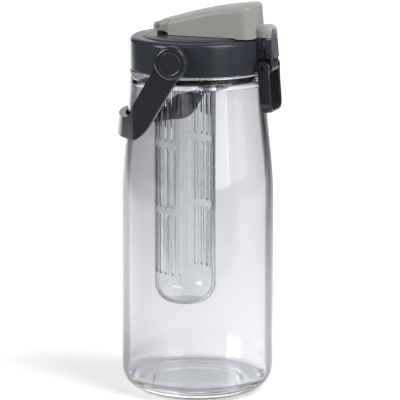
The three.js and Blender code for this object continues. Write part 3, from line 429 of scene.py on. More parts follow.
def prism(points, low, high, plane, segments=6):
    """An outline drawn on the side, front or plan view and given its width across that view."""
    views = {
        "side": (lambda x, z: (x, low, z), (0, high - low, 0)),
        "front": (lambda y, z: (low, y, z), (high - low, 0, 0)),
        "plan": (lambda x, y: (x, y, low), (0, 0, high - low)),
    }
    place, width = views[plane]
    shape, corners = outline(points, place)
    shape.edges.new((corners[-1], corners[0]))
    round_corners(shape, corners, points, segments)
    bmesh.ops.edgeloop_fill(shape, edges=shape.edges)
    grown = bmesh.ops.extrude_face_region(shape, geom=shape.faces[:])["geom"]
    far_side = [part for part in grown if isinstance(part, bmesh.types.BMVert)]
    bmesh.ops.translate(shape, vec=width, verts=far_side)
    bmesh.ops.recalc_face_normals(shape, faces=shape.faces)
    return shape


def soften(shape, radius, steeper=50, segments=3):
    """Rounds every edge that turns more steeply than the given angle."""
    sharp = [e for e in shape.edges if e.calc_face_angle(0) > math.radians(steeper)]
    bmesh.ops.bevel(
        shape, geom=sharp, offset=radius, segments=segments, profile=0.5, affect="EDGES",
        material=-1, clamp_overlap=True,
    )
    return shape


def block(low, high, rounding=0):
    """A box between two corners with rounded edges."""
    shape = bmesh.new()
    bmesh.ops.create_cube(shape, size=1)
    bmesh.ops.scale(shape, vec=Vector(high) - Vector(low), verts=shape.verts)
    bmesh.ops.translate(shape, vec=(Vector(high) + Vector(low)) / 2, verts=shape.verts)
    return soften(shape, rounding) if rounding else shape


def moved(shape, x=0, z=0):
    """Moves a shape along X and up."""
    bmesh.ops.translate(shape, vec=(x, 0, z), verts=shape.verts)
    return shape


def rotated(shape, angle, axis):
    """Turns a shape about an axis of the frame."""
    bmesh.ops.rotate(
        shape, cent=(0, 0, 0), matrix=Matrix.Rotation(angle, 3, axis), verts=shape.verts,
    )
    return shape


def across(shape, x, z):
    """Turns a shape that was made about Z so that it lies along Y at the given place."""
    return moved(rotated(shape, -math.pi / 2, "X"), x, z)


def bar(radius, x, z, low, high, rounding=0):
    """A round bar along Y."""
    corner = (rounding,) if rounding else ()
    side = [(radius, low, *corner), (radius, high, *corner)]
    return across(turned([(0, low), *side, (0, high)], steps=48), x, z)


def mirrored(shape):
    """The same shape on the other side of the object."""
    other = shape.copy()
    bmesh.ops.scale(other, vec=(1, -1, 1), verts=other.verts)
    bmesh.ops.reverse_faces(other, faces=other.faces)
    return other


def leaned(shape):
    """Leans the front of the latch back towards its top; the lid's wall stays upright."""
    for vert in shape.verts:
        share = min(1, max(0, (vert.co.x - LID_RADIUS) / (LATCH_FRONT_X - LID_RADIUS)))
        vert.co.x -= LATCH_LEAN * (vert.co.z - LATCH_STEP) * share
    return shape


def satin_plastic(name, tones, gloss, grain_size, tone_size):
    """A plastic with a fine grain from its mould, toned in patches of a given size."""
    finish, tree = new_finish(name)
    place = add(tree, "ShaderNodeTexCoord").outputs["Object"]
    grain, flow = (
        add(tree, "ShaderNodeTexNoise", {"Vector": place, "Scale": 1 / (size * MM), "Detail": 2.0})
        for size in (grain_size, tone_size)
    )
    tone = add(
        tree, "ShaderNodeMix",
        {"Factor": flow, "A": linear(tones[0]), "B": linear(tones[1])},
        data_type="RGBA",
    )
    satin = add(
        tree, "ShaderNodeMapRange",
        {"Value": grain, "To Min": gloss[0], "To Max": gloss[1]},
    )
    texture = add(
        tree, "ShaderNodeBump",
        {"Height": grain, "Strength": 0.015, "Distance": GRAIN_DEPTH * MM},
    )
    surface = add(
        tree, "ShaderNodeBsdfPrincipled",
        {
            "Base Color": tone, "Roughness": satin, "IOR": 1.5,
            "Specular IOR Level": 0.3, "Normal": texture,
        },
    )
    add(tree, "ShaderNodeOutputMaterial", {"Surface": surface})
    return finish


# Lid plastic, moulded on a finely eroded tool: dark blue-grey satin, with soft broad highlights.
# The grain of these plastics is drawn coarser than real to show.
GRAIN_SIZE = 0.9
GRAIN_DEPTH = 0.05
FLOW_SIZE = 30
satin_dark = satin_plastic(
    "satin_blue_grey_plastic", ("#30343A", "#363A41"), (0.17, 0.21), GRAIN_SIZE, FLOW_SIZE,
)

lid_shape = turned([
    (0, DECK_Z),
    (DECK_FLAT, DECK_Z, DECK_ROUND),
    (DECK_RADIUS - DECK_FOOT[0], LID_SHOULDER + DECK_FOOT[1], DECK_FOOT_ROUND),
    (DECK_RADIUS, LID_SHOULDER, MOULD_ROUND),
    (LID_RADIUS, LID_SHOULDER, LID_EDGE),
    (LID_RADIUS, LID_BOTTOM, SOFT_ROUND),
    (LID_BORE, LID_BOTTOM, EDGE_ROUND),
    (LID_BORE, LAND_Z, LAND_ROUND),
    (LAND_RADIUS, LAND_Z, EDGE_ROUND),
    (LAND_RADIUS, DECK_UNDER, SOFT_ROUND),
    (0, DECK_UNDER),
], steps=144)
wall_start = LID_BORE + WALL_SINK
latch_cheeks = block(
    (wall_start, -LATCH_HALF, LATCH_STEP), (LATCH_FRONT_X, LATCH_HALF, LATCH_TOP), LATCH_EDGE,
)
latch_foot = soften(prism([
    (wall_start, LID_BOTTOM), (LATCH_FOOT_X - LATCH_CHAMFER, LID_BOTTOM, LATCH_TOE_ROUND),
    (LATCH_FOOT_X, LID_BOTTOM + LATCH_CHAMFER, LATCH_CHAMFER_ROUND),
    (LATCH_FOOT_X, LATCH_STEP + WALL_SINK), (wall_start, LATCH_STEP + WALL_SINK),
], -LATCH_FOOT_HALF, LATCH_FOOT_HALF, "side"), MOULD_ROUND)
foot_side = block(
    (wall_start - OVERSHOOT, LATCH_WEB_HALF, LID_BOTTOM - OVERSHOOT),
    (LATCH_FOOT_X - LATCH_FOOT_WALL, LATCH_FOOT_HALF + OVERSHOOT, LATCH_STEP + 2 * OVERSHOOT),
)
latch_foot = combined(latch_foot, "DIFFERENCE", foot_side, mirrored(foot_side))
lock_boss = bar(LOCK_BOSS, *LOCK_PIN, -LOCK_BOSS_END, LOCK_BOSS_END, EDGE_ROUND)
hinge_lug = soften(prism([
    (HINGE_X - LUG_RADIUS, DECK_Z - WALL_SINK), (HINGE_X + LUG_RADIUS, DECK_Z - WALL_SINK),
    (HINGE_X + LUG_RADIUS, HINGE_Z + LUG_RADIUS, LUG_RADIUS * FULL_ROUND),
    (HINGE_X - LUG_RADIUS, HINGE_Z + LUG_RADIUS, LUG_RADIUS * FULL_ROUND),
], LUG_INNER, LUG_OUTER, "side"), EDGE_ROUND)
spout = moved(turned([
    (SPOUT_BORE - WALL_SINK, DECK_UNDER + WALL_SINK), (SPOUT_RADIUS, DECK_UNDER + WALL_SINK),
    (SPOUT_RADIUS, SPOUT_TOP, SPOUT_LIP), (SPOUT_BORE - WALL_SINK, SPOUT_TOP, MOULD_ROUND),
], steps=96, closed=True), SPOUT_X)
flare_top = SPOUT_TOP + CUT_OVERLAP
spout_bore = moved(turned([
    (0, DECK_UNDER - OVERSHOOT), (SPOUT_BORE, DECK_UNDER - OVERSHOOT),
    (SPOUT_BORE, flare_top - SPOUT_LIP), (SPOUT_BORE + SPOUT_LIP, flare_top), (0, flare_top),
], steps=96), SPOUT_X)
journal = across(turned([
    (0, wall_start), (PAD_RADIUS, wall_start), (PAD_RADIUS, PAD_Y, EDGE_ROUND), (JOURNAL_RADIUS, PAD_Y),
    (JOURNAL_RADIUS, JOURNAL_END, MOULD_ROUND), (0, JOURNAL_END),
], steps=64), 0, PIVOT_Z)
lid_inside = turned([
    (0, LID_BOTTOM - OVERSHOOT), (LID_BORE, LID_BOTTOM - OVERSHOOT), (LID_BORE, LAND_Z), (0, LAND_Z),
], steps=144)
journal = combined(journal, "DIFFERENCE", lid_inside)
screw_hole = bar(SCREW_HOLE, 0, PIVOT_Z, SCREW_HOLE_END, JOURNAL_END + OVERSHOOT)
collar_low = DECK_UNDER - COLLAR_DEPTH
collar = moved(turned([
    (COLLAR_INNER, collar_low, MOULD_ROUND), (COLLAR_RADIUS, collar_low, MOULD_ROUND),
    (COLLAR_RADIUS, DECK_UNDER + WALL_SINK), (COLLAR_INNER, DECK_UNDER + WALL_SINK),
], steps=96, closed=True), INFUSER_X)
bayonet_lug = block(
    (INFUSER_X - BAYONET_LENGTH / 2, COLLAR_RADIUS - WALL_SINK, BAYONET_Z - BAYONET_HEIGHT / 2),
    (INFUSER_X + BAYONET_LENGTH / 2, COLLAR_RADIUS + BAYONET_REACH, BAYONET_Z + BAYONET_HEIGHT / 2),
    TIGHT_ROUND,
)
lid_thread = screw_ridge(LID_BORE, -THREAD_REACH, THREAD_START - THREAD_PITCH / 2)
lid_shape = combined(
    lid_shape, "UNION", lid_thread, leaned(latch_cheeks), leaned(latch_foot), lock_boss, hinge_lug,
    mirrored(hinge_lug), spout, journal, mirrored(journal), collar, bayonet_lug, mirrored(bayonet_lug),
)
pocket_low = POCKET_LOW_ARC - POCKET_HALF
pocket_round = POCKET_HALF * FULL_ROUND
pocket = prism([
    (-POCKET_HALF, LATCH_TOP + OVERSHOOT), (-POCKET_HALF, pocket_low, pocket_round),
    (POCKET_HALF, pocket_low, pocket_round), (POCKET_HALF, LATCH_TOP + OVERSHOOT),
], POCKET_BACK_X, LATCH_FRONT_X + OVERSHOOT, "front", segments=12)
panel_end = PANEL_X + PANEL_LENGTH
panel_low = LATCH_STEP - WALL_SINK
past_cheek = LATCH_HALF + OVERSHOOT
seam_bed = LATCH_HALF - PANEL_SEAM_DEPTH
seam_half = PANEL_SEAM / 2
cheek_panel = block(
    (PANEL_X, LATCH_HALF - PANEL_DEPTH, panel_low), (panel_end, past_cheek, PANEL_TOP),
)
seam_over = block(
    (PANEL_X, seam_bed, PANEL_TOP - seam_half), (panel_end + seam_half, past_cheek, PANEL_TOP + seam_half),
)
seam_beside = block(
    (panel_end - seam_half, seam_bed, panel_low), (panel_end + seam_half, past_cheek, PANEL_TOP),
)
lid_shape = combined(
    lid_shape, "DIFFERENCE", spout_bore, leaned(pocket), cheek_panel, mirrored(cheek_panel),
    seam_over, mirrored(seam_over), seam_beside, mirrored(seam_beside), screw_hole, mirrored(screw_hole),
    bar(BUTTON_PIN_HOLE, *BUTTON_PIN, -HOLE_HALF, HOLE_HALF),
    bar(LOCK_PIN_HOLE, *LOCK_PIN, -HOLE_HALF, HOLE_HALF),
    bar(HINGE_PIN_HOLE, HINGE_X, HINGE_Z, -HOLE_HALF, HOLE_HALF),
)
lid = finished(lid_shape, "lid", satin_dark)
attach(lid, "lid")
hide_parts("lid_body")

# Infuser basket: a clear tube with a rounded foot, moulded from the same copolyester, with two
# panels of slots in tiers. Bayonet tracks at its rim hang it on the lugs of the lid's collar.
INFUSER_RADIUS = 22.5
INFUSER_WALL = 1.8
INFUSER_LOW = 64.3
INFUSER_TOP = 262.3
INFUSER_HEEL = 14
SLOT_WIDTH = 2.6
SLOT_ROUND = 0.48 * SLOT_WIDTH
SLOT_HEIGHT = 45
SLOT_BRIDGE = 4.5
SLOT_LOW = INFUSER_LOW + 24
SLOT_TIERS = 3
SLOT_COUNT = 6
SLOT_STEP = math.radians(15)
SLOT_CENTRE = math.radians(65)
SLOT_CUT_IN = 4
SLOT_CUT_OUT = 2
TRACK_HALF_HEIGHT = 1.8
TRACK_HALF_TURN = math.radians(5.9)
TRACK_START = math.radians(90)
TWIST = math.radians(40)


def sector(inner, outer, low, high, start, end):
    """A part of a ring between two angles."""
    shape = bmesh.new()
    corners = [(inner, low), (outer, low), (outer, high), (inner, high)]
    face = shape.faces.new([shape.verts.new((r, 0, z)) for r, z in corners])
    bmesh.ops.spin(shape, geom=[face], cent=(0, 0, 0), axis=(0, 0, 1), angle=end - start, steps=8)
    bmesh.ops.recalc_face_normals(shape, faces=shape.faces)
    return rotated(shape, start, "Z")


slots = prism(
    rounded_box(-SLOT_WIDTH / 2, SLOT_WIDTH / 2, SLOT_LOW, SLOT_LOW + SLOT_HEIGHT, SLOT_ROUND),
    INFUSER_RADIUS - SLOT_CUT_IN, INFUSER_RADIUS + SLOT_CUT_OUT, "front",
)
rotated(slots, SLOT_CENTRE - (SLOT_COUNT - 1) / 2 * SLOT_STEP, "Z")
bmesh.ops.spin(
    slots, geom=whole(slots), cent=(0, 0, 0), axis=(0, 0, 1), angle=SLOT_STEP * (SLOT_COUNT - 1),
    steps=SLOT_COUNT - 1, use_duplicate=True,
)
bmesh.ops.spin(
    slots, geom=whole(slots), cent=(0, 0, 0), axis=(0, 0, 1), angle=math.pi, steps=1,
    use_duplicate=True,
)
tier = whole(slots)
for level in range(1, SLOT_TIERS):
    copy = bmesh.ops.duplicate(slots, geom=tier)["geom"]
    bmesh.ops.translate(
        slots, vec=(0, 0, level * (SLOT_HEIGHT + SLOT_BRIDGE)),
        verts=[part for part in copy if isinstance(part, bmesh.types.BMVert)],
    )
bmesh.ops.recalc_face_normals(slots, faces=slots.faces)
infuser_bore = INFUSER_RADIUS - INFUSER_WALL
tube = turned([
    (0, INFUSER_LOW),
    (INFUSER_RADIUS, INFUSER_LOW, INFUSER_HEEL),
    (INFUSER_RADIUS, INFUSER_TOP, MOULD_ROUND),
    (infuser_bore, INFUSER_TOP, MOULD_ROUND),
    (infuser_bore, INFUSER_LOW + INFUSER_WALL, INFUSER_HEEL - INFUSER_WALL),
    (0, INFUSER_LOW + INFUSER_WALL),
], steps=96)
tube = combined(tube, "DIFFERENCE", slots)
track_low = BAYONET_Z - TRACK_HALF_HEIGHT
track_end = TRACK_START - TWIST
track_room = (infuser_bore - OVERSHOOT, INFUSER_RADIUS + OVERSHOOT)
for half_turn in (0, math.pi):
    along = sector(
        *track_room, track_low, BAYONET_Z + TRACK_HALF_HEIGHT,
        TRACK_START + TRACK_HALF_TURN, track_end - TRACK_HALF_TURN,
    )
    up = sector(
        *track_room, track_low, INFUSER_TOP + OVERSHOOT,
        track_end + TRACK_HALF_TURN, track_end - TRACK_HALF_TURN,
    )
    tube = combined(tube, "DIFFERENCE", rotated(along, half_turn, "Z"), rotated(up, half_turn, "Z"))
infuser = finished(moved(tube, INFUSER_X), "infuser", clear_finishes["clear_copolyester_thin"])
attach(infuser, "infuser")
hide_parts("infuser_basket")

# Flip cover: a hollow light grey wedge over the pour spout. It is one moulding with hinge knuckles
# at its low end and, at its high end, a tongue that arches over the top of the latch button.
COVER_HALF = 19
COVER_END_X = 49
COVER_HOLLOW_X = 43
COVER_STEP_X = -17.5
COVER_BOTTOM = 265.3
COVER_SKIRT = 264.6
COVER_WALL = 2.2
COVER_ROOF = 3.3
HOLLOW_STEPS = 12
COVER_CORNER = 6.5
CORNER_STEPS = 8
END_STEPS = 10
COVER_SHOULDER = 3.2
COVER_HEEL = 2.8
COVER_NOOK = 1
HEEL_GAP = 2.2
HEEL_GAP_X = -20
HEEL_STEP_GAP = 1.2
HEEL_STEP_WALL = 0.6
HEEL_OVERLAP = 0.5
ABOVE_COVER = 300
LUG_HEADROOM = 0.6
FIT_GAP = 0.3
KNUCKLE_HALF = 14
KNUCKLE_RADIUS = 3.5
COVER_BACK_X = HINGE_X - KNUCKLE_RADIUS
COVER_TOP_CURVE = ((COVER_BACK_X, 273.3), (18, 288.5), (COVER_END_X, 289.5))
COVER_EDGE_ROUND = 2.6
COVER_CROWN = 2.6
CROWN_START = 5
ROUND_STEPS = 6
FLAT_ROOF = 330
ROOF_CUTS_X = range(-27, 48, 3)
ROOF_CUTS_Y = (-13, -10, -7, -4, 0, 4, 7, 10, 13)
COVER_SIDE_DRAFT = math.tan(math.radians(5))
COVER_END_DRAFT = math.tan(math.radians(4.2))
TONGUE_HALF = 8.3
TONGUE_LOW = 265.1
TONGUE_TOP = 273.6
TONGUE_ROUND = 4.2
TONGUE_RECESS_X = 57.7
ARCH_DROP = 3
BUTTON_TOP_ARC = 263.9
PLUG_BOSS_LOW = 282.5
PLUG_BOSS_TOP = 286.2


def lofted(rings, place, segments=6):
    """A solid through a stack of outlines that have the same corners, each with its height."""
    shape = bmesh.new()
    loops = []
    for points, height in rings:
        before = set(shape.edges)
        corners = [shape.verts.new(place(p[0], p[1], height)) for p in points]
        for start, end in zip(corners, corners[1:] + corners[:1]):
            shape.edges.new((start, end))
        round_corners(shape, corners, points, segments)
        loops.append([edge for edge in shape.edges if edge not in before])
    for lower, upper in zip(loops, loops[1:]):
        bmesh.ops.bridge_loops(shape, edges=lower + upper)
    for end in (loops[0], loops[-1]):
        bmesh.ops.edgeloop_fill(shape, edges=end)
    bmesh.ops.recalc_face_normals(shape, faces=shape.faces)
    return shape


def cover_plan(inset):
    """The cover's outline in plan, moved in from its edge; its end is round with the lid."""
    half, knuckle_half = COVER_HALF - inset, KNUCKLE_HALF - inset
    step, back = COVER_STEP_X + inset, COVER_BACK_X + inset
    shoulder, heel, nook = COVER_SHOULDER - inset, COVER_HEEL - inset, COVER_NOOK + inset
    corner_y = COVER_HALF - COVER_CORNER
    corner_x = math.sqrt((COVER_END_X - COVER_CORNER) ** 2 - corner_y ** 2)
    turn = math.atan2(corner_y, corner_x)
    corner = [math.pi / 2 - (math.pi / 2 - turn) * i / CORNER_STEPS for i in range(CORNER_STEPS + 1)]
    sweep = [turn - 2 * turn * i / END_STEPS for i in range(1, END_STEPS)]
    corner_radius, end_radius = COVER_CORNER - inset, COVER_END_X - inset
    upper = [
        (corner_x + corner_radius * math.cos(a), corner_y + corner_radius * math.sin(a)) for a in corner
    ]
    end = [(end_radius * math.cos(a), end_radius * math.sin(a)) for a in sweep]
    lower = [(x, -y) for x, y in reversed(upper)]
    return [
        (step, half, shoulder), *upper, *end, *lower, (step, -half, shoulder),
        (step, -knuckle_half, nook), (back, -knuckle_half, heel), (back, knuckle_half, heel),
        (step, knuckle_half, nook),
    ]


def cover_top(x):
    """The height of the cover's top along its middle."""
    (x0, z0), (x1, z1), (x2, z2) = COVER_TOP_CURVE
    a, b, c = x0 - 2 * x1 + x2, 2 * (x1 - x0), x0 - x
    t = (-b + math.sqrt(b * b - 4 * a * c)) / (2 * a)
    return (1 - t) ** 2 * z0 + 2 * t * (1 - t) * z1 + t * t * z2


def drafted(shape):
    """Leans the walls in towards the top, so that the cover leaves its mould."""
    for vert in shape.verts:
        rise = vert.co.z - COVER_BOTTOM
        share = (vert.co.x - HINGE_X) / (COVER_END_X - HINGE_X)
        vert.co.y *= 1 - COVER_SIDE_DRAFT * rise / COVER_HALF
        vert.co.x -= COVER_END_DRAFT * rise * share
    return shape


# Cover plastic, moulded: warm light grey satin that a fine eroded grain keeps from shining.
satin_light = satin_plastic(
    "satin_warm_grey_plastic", ("#9A9B96", "#9FA09B"), (0.2, 0.24), GRAIN_SIZE, FLOW_SIZE,
)

turns = [math.pi / 2 * i / ROUND_STEPS for i in range(ROUND_STEPS + 1)]
rims = [
    (
        cover_plan(COVER_EDGE_ROUND * (1 - math.cos(turn))),
        FLAT_ROOF - COVER_EDGE_ROUND * (1 - math.sin(turn)),
    )
    for turn in turns
]
cover_shape = lofted([(cover_plan(0), COVER_SKIRT), *rims], lambda x, y, z: (x, y, z))
cuts = [((x, 0, 0), (1, 0, 0)) for x in ROOF_CUTS_X]
cuts += [((0, y, 0), (0, 1, 0)) for y in ROOF_CUTS_Y]
for place, facing in cuts:
    bmesh.ops.bisect_plane(
        cover_shape, geom=whole(cover_shape), dist=JOIN_GAP, plane_co=place, plane_no=facing,
    )
for vert in cover_shape.verts:
    if vert.co.z > COVER_BOTTOM + OVERSHOOT:
        side = max(0, abs(vert.co.y) - CROWN_START) / (COVER_HALF - CROWN_START)
        vert.co.z += cover_top(vert.co.x) - FLAT_ROOF - COVER_CROWN * side ** 2
drafted(cover_shape)
hollow_start = COVER_STEP_X + COVER_WALL
hollow_half = COVER_HALF - COVER_WALL
hollow_length = COVER_HOLLOW_X - hollow_start
hollow_steps = [hollow_start + hollow_length * i / HOLLOW_STEPS for i in range(HOLLOW_STEPS + 1)]
under_skirt = COVER_SKIRT - OVERSHOOT
hollow = prism([
    (hollow_start, under_skirt), (COVER_HOLLOW_X, under_skirt),
    *[(x, cover_top(x) - COVER_ROOF) for x in reversed(hollow_steps)],
], -hollow_half, hollow_half, "side")
lug_room = LUG_OUTER + FIT_GAP
past_knuckle = KNUCKLE_HALF + OVERSHOOT
past_side = COVER_HALF + OVERSHOOT
past_back = COVER_BACK_X - 2 * OVERSHOOT
under_cover = COVER_BOTTOM - OVERSHOOT
between_lugs = block((past_back, -lug_room, under_cover), (HINGE_X, lug_room, ABOVE_COVER))
over_lugs = block(
    (HINGE_X - CUT_OVERLAP, -lug_room, under_cover),
    (hollow_start + CUT_OVERLAP, lug_room, HINGE_Z + LUG_RADIUS + LUG_HEADROOM),
)
under_knuckles = block((past_back, -past_knuckle, under_cover), (HINGE_X, past_knuckle, HINGE_Z))
under_heel = block(
    (past_back, -past_side, under_cover), (HEEL_GAP_X, past_side, COVER_BOTTOM + HEEL_GAP),
)
under_step = block(
    (HEEL_GAP_X - HEEL_OVERLAP, -past_side, under_cover),
    (hollow_start - HEEL_STEP_WALL, past_side, COVER_BOTTOM + HEEL_STEP_GAP),
)
deck_room = DECK_RADIUS + FIT_GAP
over_deck = turned([
    (0, under_skirt), (deck_room, under_skirt), (deck_room, COVER_BOTTOM), (0, COVER_BOTTOM),
], steps=144)
cover_shape = combined(
    cover_shape, "DIFFERENCE", drafted(hollow), over_deck, between_lugs, over_lugs, under_knuckles,
    under_heel, under_step,
)
knuckle = bar(KNUCKLE_RADIUS, HINGE_X, HINGE_Z, lug_room, KNUCKLE_HALF, MOULD_ROUND)
tongue_start = COVER_END_X - COVER_WALL
tongue = block((tongue_start, -TONGUE_HALF, TONGUE_LOW), (LATCH_FRONT_X, TONGUE_HALF, TONGUE_TOP))
tongue_middle = (TONGUE_LOW + TONGUE_TOP) / 2
upper = [
    edge for edge in tongue.edges
    if all(v.co.z > tongue_middle for v in edge.verts) and any(v.co.x > COVER_END_X for v in edge.verts)
]
bmesh.ops.bevel(
    tongue, geom=upper, offset=TONGUE_ROUND, segments=8, profile=0.5, affect="EDGES", material=-1,
)
soften(tongue, EDGE_ROUND, segments=2)
arch_top = BUTTON_TOP_ARC + POCKET_HALF
arch = prism([
    (-POCKET_HALF, TONGUE_LOW - ARCH_DROP), (POCKET_HALF, TONGUE_LOW - ARCH_DROP),
    (POCKET_HALF, arch_top, pocket_round), (-POCKET_HALF, arch_top, pocket_round),
], TONGUE_RECESS_X, LATCH_FRONT_X + OVERSHOOT, "front", segments=12)
tongue = combined(tongue, "DIFFERENCE", arch)
plug_boss = moved(turned([
    (SPOUT_BORE / 2, PLUG_BOSS_LOW, TIGHT_ROUND), (SPOUT_BORE, PLUG_BOSS_LOW, TIGHT_ROUND),
    (SPOUT_BORE, PLUG_BOSS_TOP), (SPOUT_BORE / 2, PLUG_BOSS_TOP),
], steps=64, closed=True), SPOUT_X)
cover_shape = combined(cover_shape, "UNION", knuckle, mirrored(knuckle), leaned(tongue), plug_boss)
pin_hole = bar(HINGE_PIN_HOLE, HINGE_X, HINGE_Z, -HOLE_HALF, HOLE_HALF)
cover_shape = combined(cover_shape, "DIFFERENCE", pin_hole)
cover = finished(cover_shape, "cover", satin_light)
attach(cover, "cover")
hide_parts("flip_cover")

# Cover seal: a milky silicone plug that is pressed on the boss under the cover and closes the
# pour spout when the cover is down.
PLUG_RADIUS = 8.2
PLUG_ROUND = 1.2
PLUG_LOW = 276.3
PLUG_FLANGE_LOW = 279.8
PLUG_TOP = 282.2
seal = finished(
    moved(turned([
        (0, PLUG_LOW), (PLUG_RADIUS, PLUG_LOW, PLUG_ROUND),
        (PLUG_RADIUS, PLUG_FLANGE_LOW, TIGHT_ROUND), (SPOUT_RADIUS, PLUG_FLANGE_LOW, MOULD_ROUND),
        (SPOUT_RADIUS, PLUG_TOP, MOULD_ROUND), (0, PLUG_TOP),
    ], steps=96), SPOUT_X),
    "seal", milky_silicone,
)
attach(seal, "cover")
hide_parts("cover_seal")

# Pins and springs: drawn stainless steel. The pins are cut, broken at their edges and pressed in;
# a coil on the hinge pin throws the cover open and one behind the button pushes its foot out.
HINGE_PIN_RADIUS = 1.1
BUTTON_PIN_RADIUS = 1
LOCK_PIN_RADIUS = 1.2
LOCK_PIN_HALF = 10.6
BUTTON_PIN_HALF = 7.6
PIN_ROUND = 0.25
WIRE_RADIUS = 0.3
HINGE_COIL = (1.7, 7.4, 6)
BUTTON_COIL = (2, 7.3, 6)
BUTTON_COIL_START = 51.4
BUTTON_COIL_Z = 252
COIL_STEPS = 24

# Drawn steel: bright metal with fine lines along the draw, drawn coarser than real to show.
LINE_WIDTH = 0.3
drawn_steel, tree = new_finish("drawn_stainless_steel")
place = add(tree, "ShaderNodeTexCoord").outputs["Object"]
stretch = add(tree, "ShaderNodeMapping", {"Vector": place, "Scale": (1.0, 0.1, 1.0)})
lines = add(
    tree, "ShaderNodeTexNoise",
    {"Vector": stretch, "Scale": 1 / (LINE_WIDTH * MM), "Detail": 2.0},
)
bright = add(tree, "ShaderNodeMapRange", {"Value": lines, "To Min": 0.2, "To Max": 0.4})
surface = add(
    tree, "ShaderNodeBsdfPrincipled",
    {"Base Color": linear("#C6C8CA"), "Metallic": 1.0, "Roughness": bright},
)
add(tree, "ShaderNodeOutputMaterial", {"Surface": surface})


def coil(radius, length, turns):
    """A coil of round wire about Z from the origin."""
    shape = bmesh.new()
    bmesh.ops.create_circle(
        shape, cap_ends=True, segments=10, radius=WIRE_RADIUS,
        matrix=Matrix.Translation((radius, 0, 0)) @ Matrix.Rotation(math.pi / 2, 4, "X"),
    )
    steps = COIL_STEPS * turns
    bmesh.ops.spin(
        shape, geom=shape.faces[:], cent=(0, 0, 0), axis=(0, 0, 1), angle=FULL_TURN * turns,
        dvec=(0, 0, length / steps), steps=steps,
    )
    bmesh.ops.recalc_face_normals(shape, faces=shape.faces)
    return shape


pins = (
    ("hinge_rod", "hinge_pin", HINGE_PIN_RADIUS, (HINGE_X, HINGE_Z), KNUCKLE_HALF),
    ("button_rod", "button_pin", BUTTON_PIN_RADIUS, BUTTON_PIN, BUTTON_PIN_HALF),
    ("lock_rod", "lock_pin", LOCK_PIN_RADIUS, LOCK_PIN, LOCK_PIN_HALF),
)
for name, node, radius, place, half in pins:
    pin = finished(bar(radius, *place, -half, half, PIN_ROUND), name, drawn_steel)
    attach(pin, "lid")
    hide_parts(node)
hinge_coil = moved(coil(*HINGE_COIL), z=-HINGE_COIL[1] / 2)
opening_spring = finished(across(hinge_coil, HINGE_X, HINGE_Z), "opening_spring", drawn_steel)
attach(opening_spring, "lid")
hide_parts("hinge_spring")
button_coil = rotated(coil(*BUTTON_COIL), math.pi / 2, "Y")
moved(button_coil, BUTTON_COIL_START, BUTTON_COIL_Z)
return_spring = finished(button_coil, "return_spring", drawn_steel)
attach(return_spring, "lid")
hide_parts("button_spring")
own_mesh(return_spring)

# Release button: a domed oval rocker in blue-grey plastic. It turns on a pin between the cheeks of
# the housing, and its nose stands in front of the cover's tongue.
BUTTON_BACK_X = 59.8
BUTTON_FRONT_X = 61.2
BUTTON_RADIUS = 6.6
BUTTON_LOW_ARC = 256.3
BUTTON_HUB = 2.5
BUTTON_DOME = ((0, 1.0), (0.1, 0.75), (0.35, 0.52), (0.8, 0.33), (1.6, 0.17), (2.8, 0.06), (4.2, 0))
NOSE_X = 58.2
NOSE_HALF = 3.4
NOSE_LOW = 266.5
NOSE_TOP = 269.5

# Button plastic, moulded and rubbed by thumbs: mid blue-grey with a slightly closer gloss.
BUTTON_GRAIN_SIZE = 0.8
satin_button = satin_plastic(
    "satin_button_plastic", ("#52555C", "#585B62"), (0.2, 0.24), BUTTON_GRAIN_SIZE, BUTTON_GRAIN_SIZE,
)


def button_oval(inset):
    """The button's outline from the front, moved in from its edge."""
    half = BUTTON_RADIUS - inset
    return rounded_box(-half, half, BUTTON_LOW_ARC - half, BUTTON_TOP_ARC + half, half * FULL_ROUND)


dome = [(button_oval(inset), BUTTON_FRONT_X - drop) for inset, drop in BUTTON_DOME]
button_shape = lofted(
    [(button_oval(0), BUTTON_BACK_X), *dome], lambda y, z, x: (x, y, z), segments=14,
)
stem_half = POCKET_HALF - FIT_GAP
stem = block(
    (BUTTON_PIN[0], -stem_half, BUTTON_PIN[1] - BUTTON_HUB),
    (BUTTON_BACK_X + WALL_SINK, stem_half, BUTTON_PIN[1] + BUTTON_HUB),
)
nose = block(
    (NOSE_X, -NOSE_HALF, NOSE_LOW), (BUTTON_BACK_X + WALL_SINK, NOSE_HALF, NOSE_TOP), TIGHT_ROUND,
)
button_shape = combined(button_shape, "UNION", stem, nose)
hub = bar(BUTTON_HUB, *BUTTON_PIN, -stem_half, stem_half)
button_shape = combined(leaned(button_shape), "UNION", hub)
pin_hole = bar(BUTTON_PIN_HOLE, *BUTTON_PIN, -HOLE_HALF, HOLE_HALF)
button_shape = combined(button_shape, "DIFFERENCE", pin_hole)
button = finished(button_shape, "button", satin_button, crease=40)
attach(button, "button")
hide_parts("release_button")

# Lock loop: a U-shaped charcoal strap that hangs on its pin under the latch. Swung up, it goes over
# the tongue and keeps the cover shut.
LOOP_INNER = 9.2
LOOP_OUTER = 13.2
LOOP_BAR = 2.4
LOOP_LENGTH = 33.4
LOOP_LEAN = math.radians(-4.6)
LOOP_EYE = 4.8
LOOP_HALF = 3.8
LOOP_NECK = 7
LOOP_NECK_ROUND = 5
LOOP_TIP_ROUND = 3
LOOP_CORNER = 8.5
LOOP_INNER_CORNER = 5
LOOP_EDGE = 0.9
STRAP_HALF = 10

# Handle plastic, moulded: charcoal satin, nearly neutral, with a little lighter rub on its grain.
CHARCOAL_FLOW_SIZE = 25
satin_charcoal = satin_plastic(
    "satin_charcoal_plastic", ("#292B2E", "#303235"), (0.13, 0.16), GRAIN_SIZE, CHARCOAL_FLOW_SIZE,
)

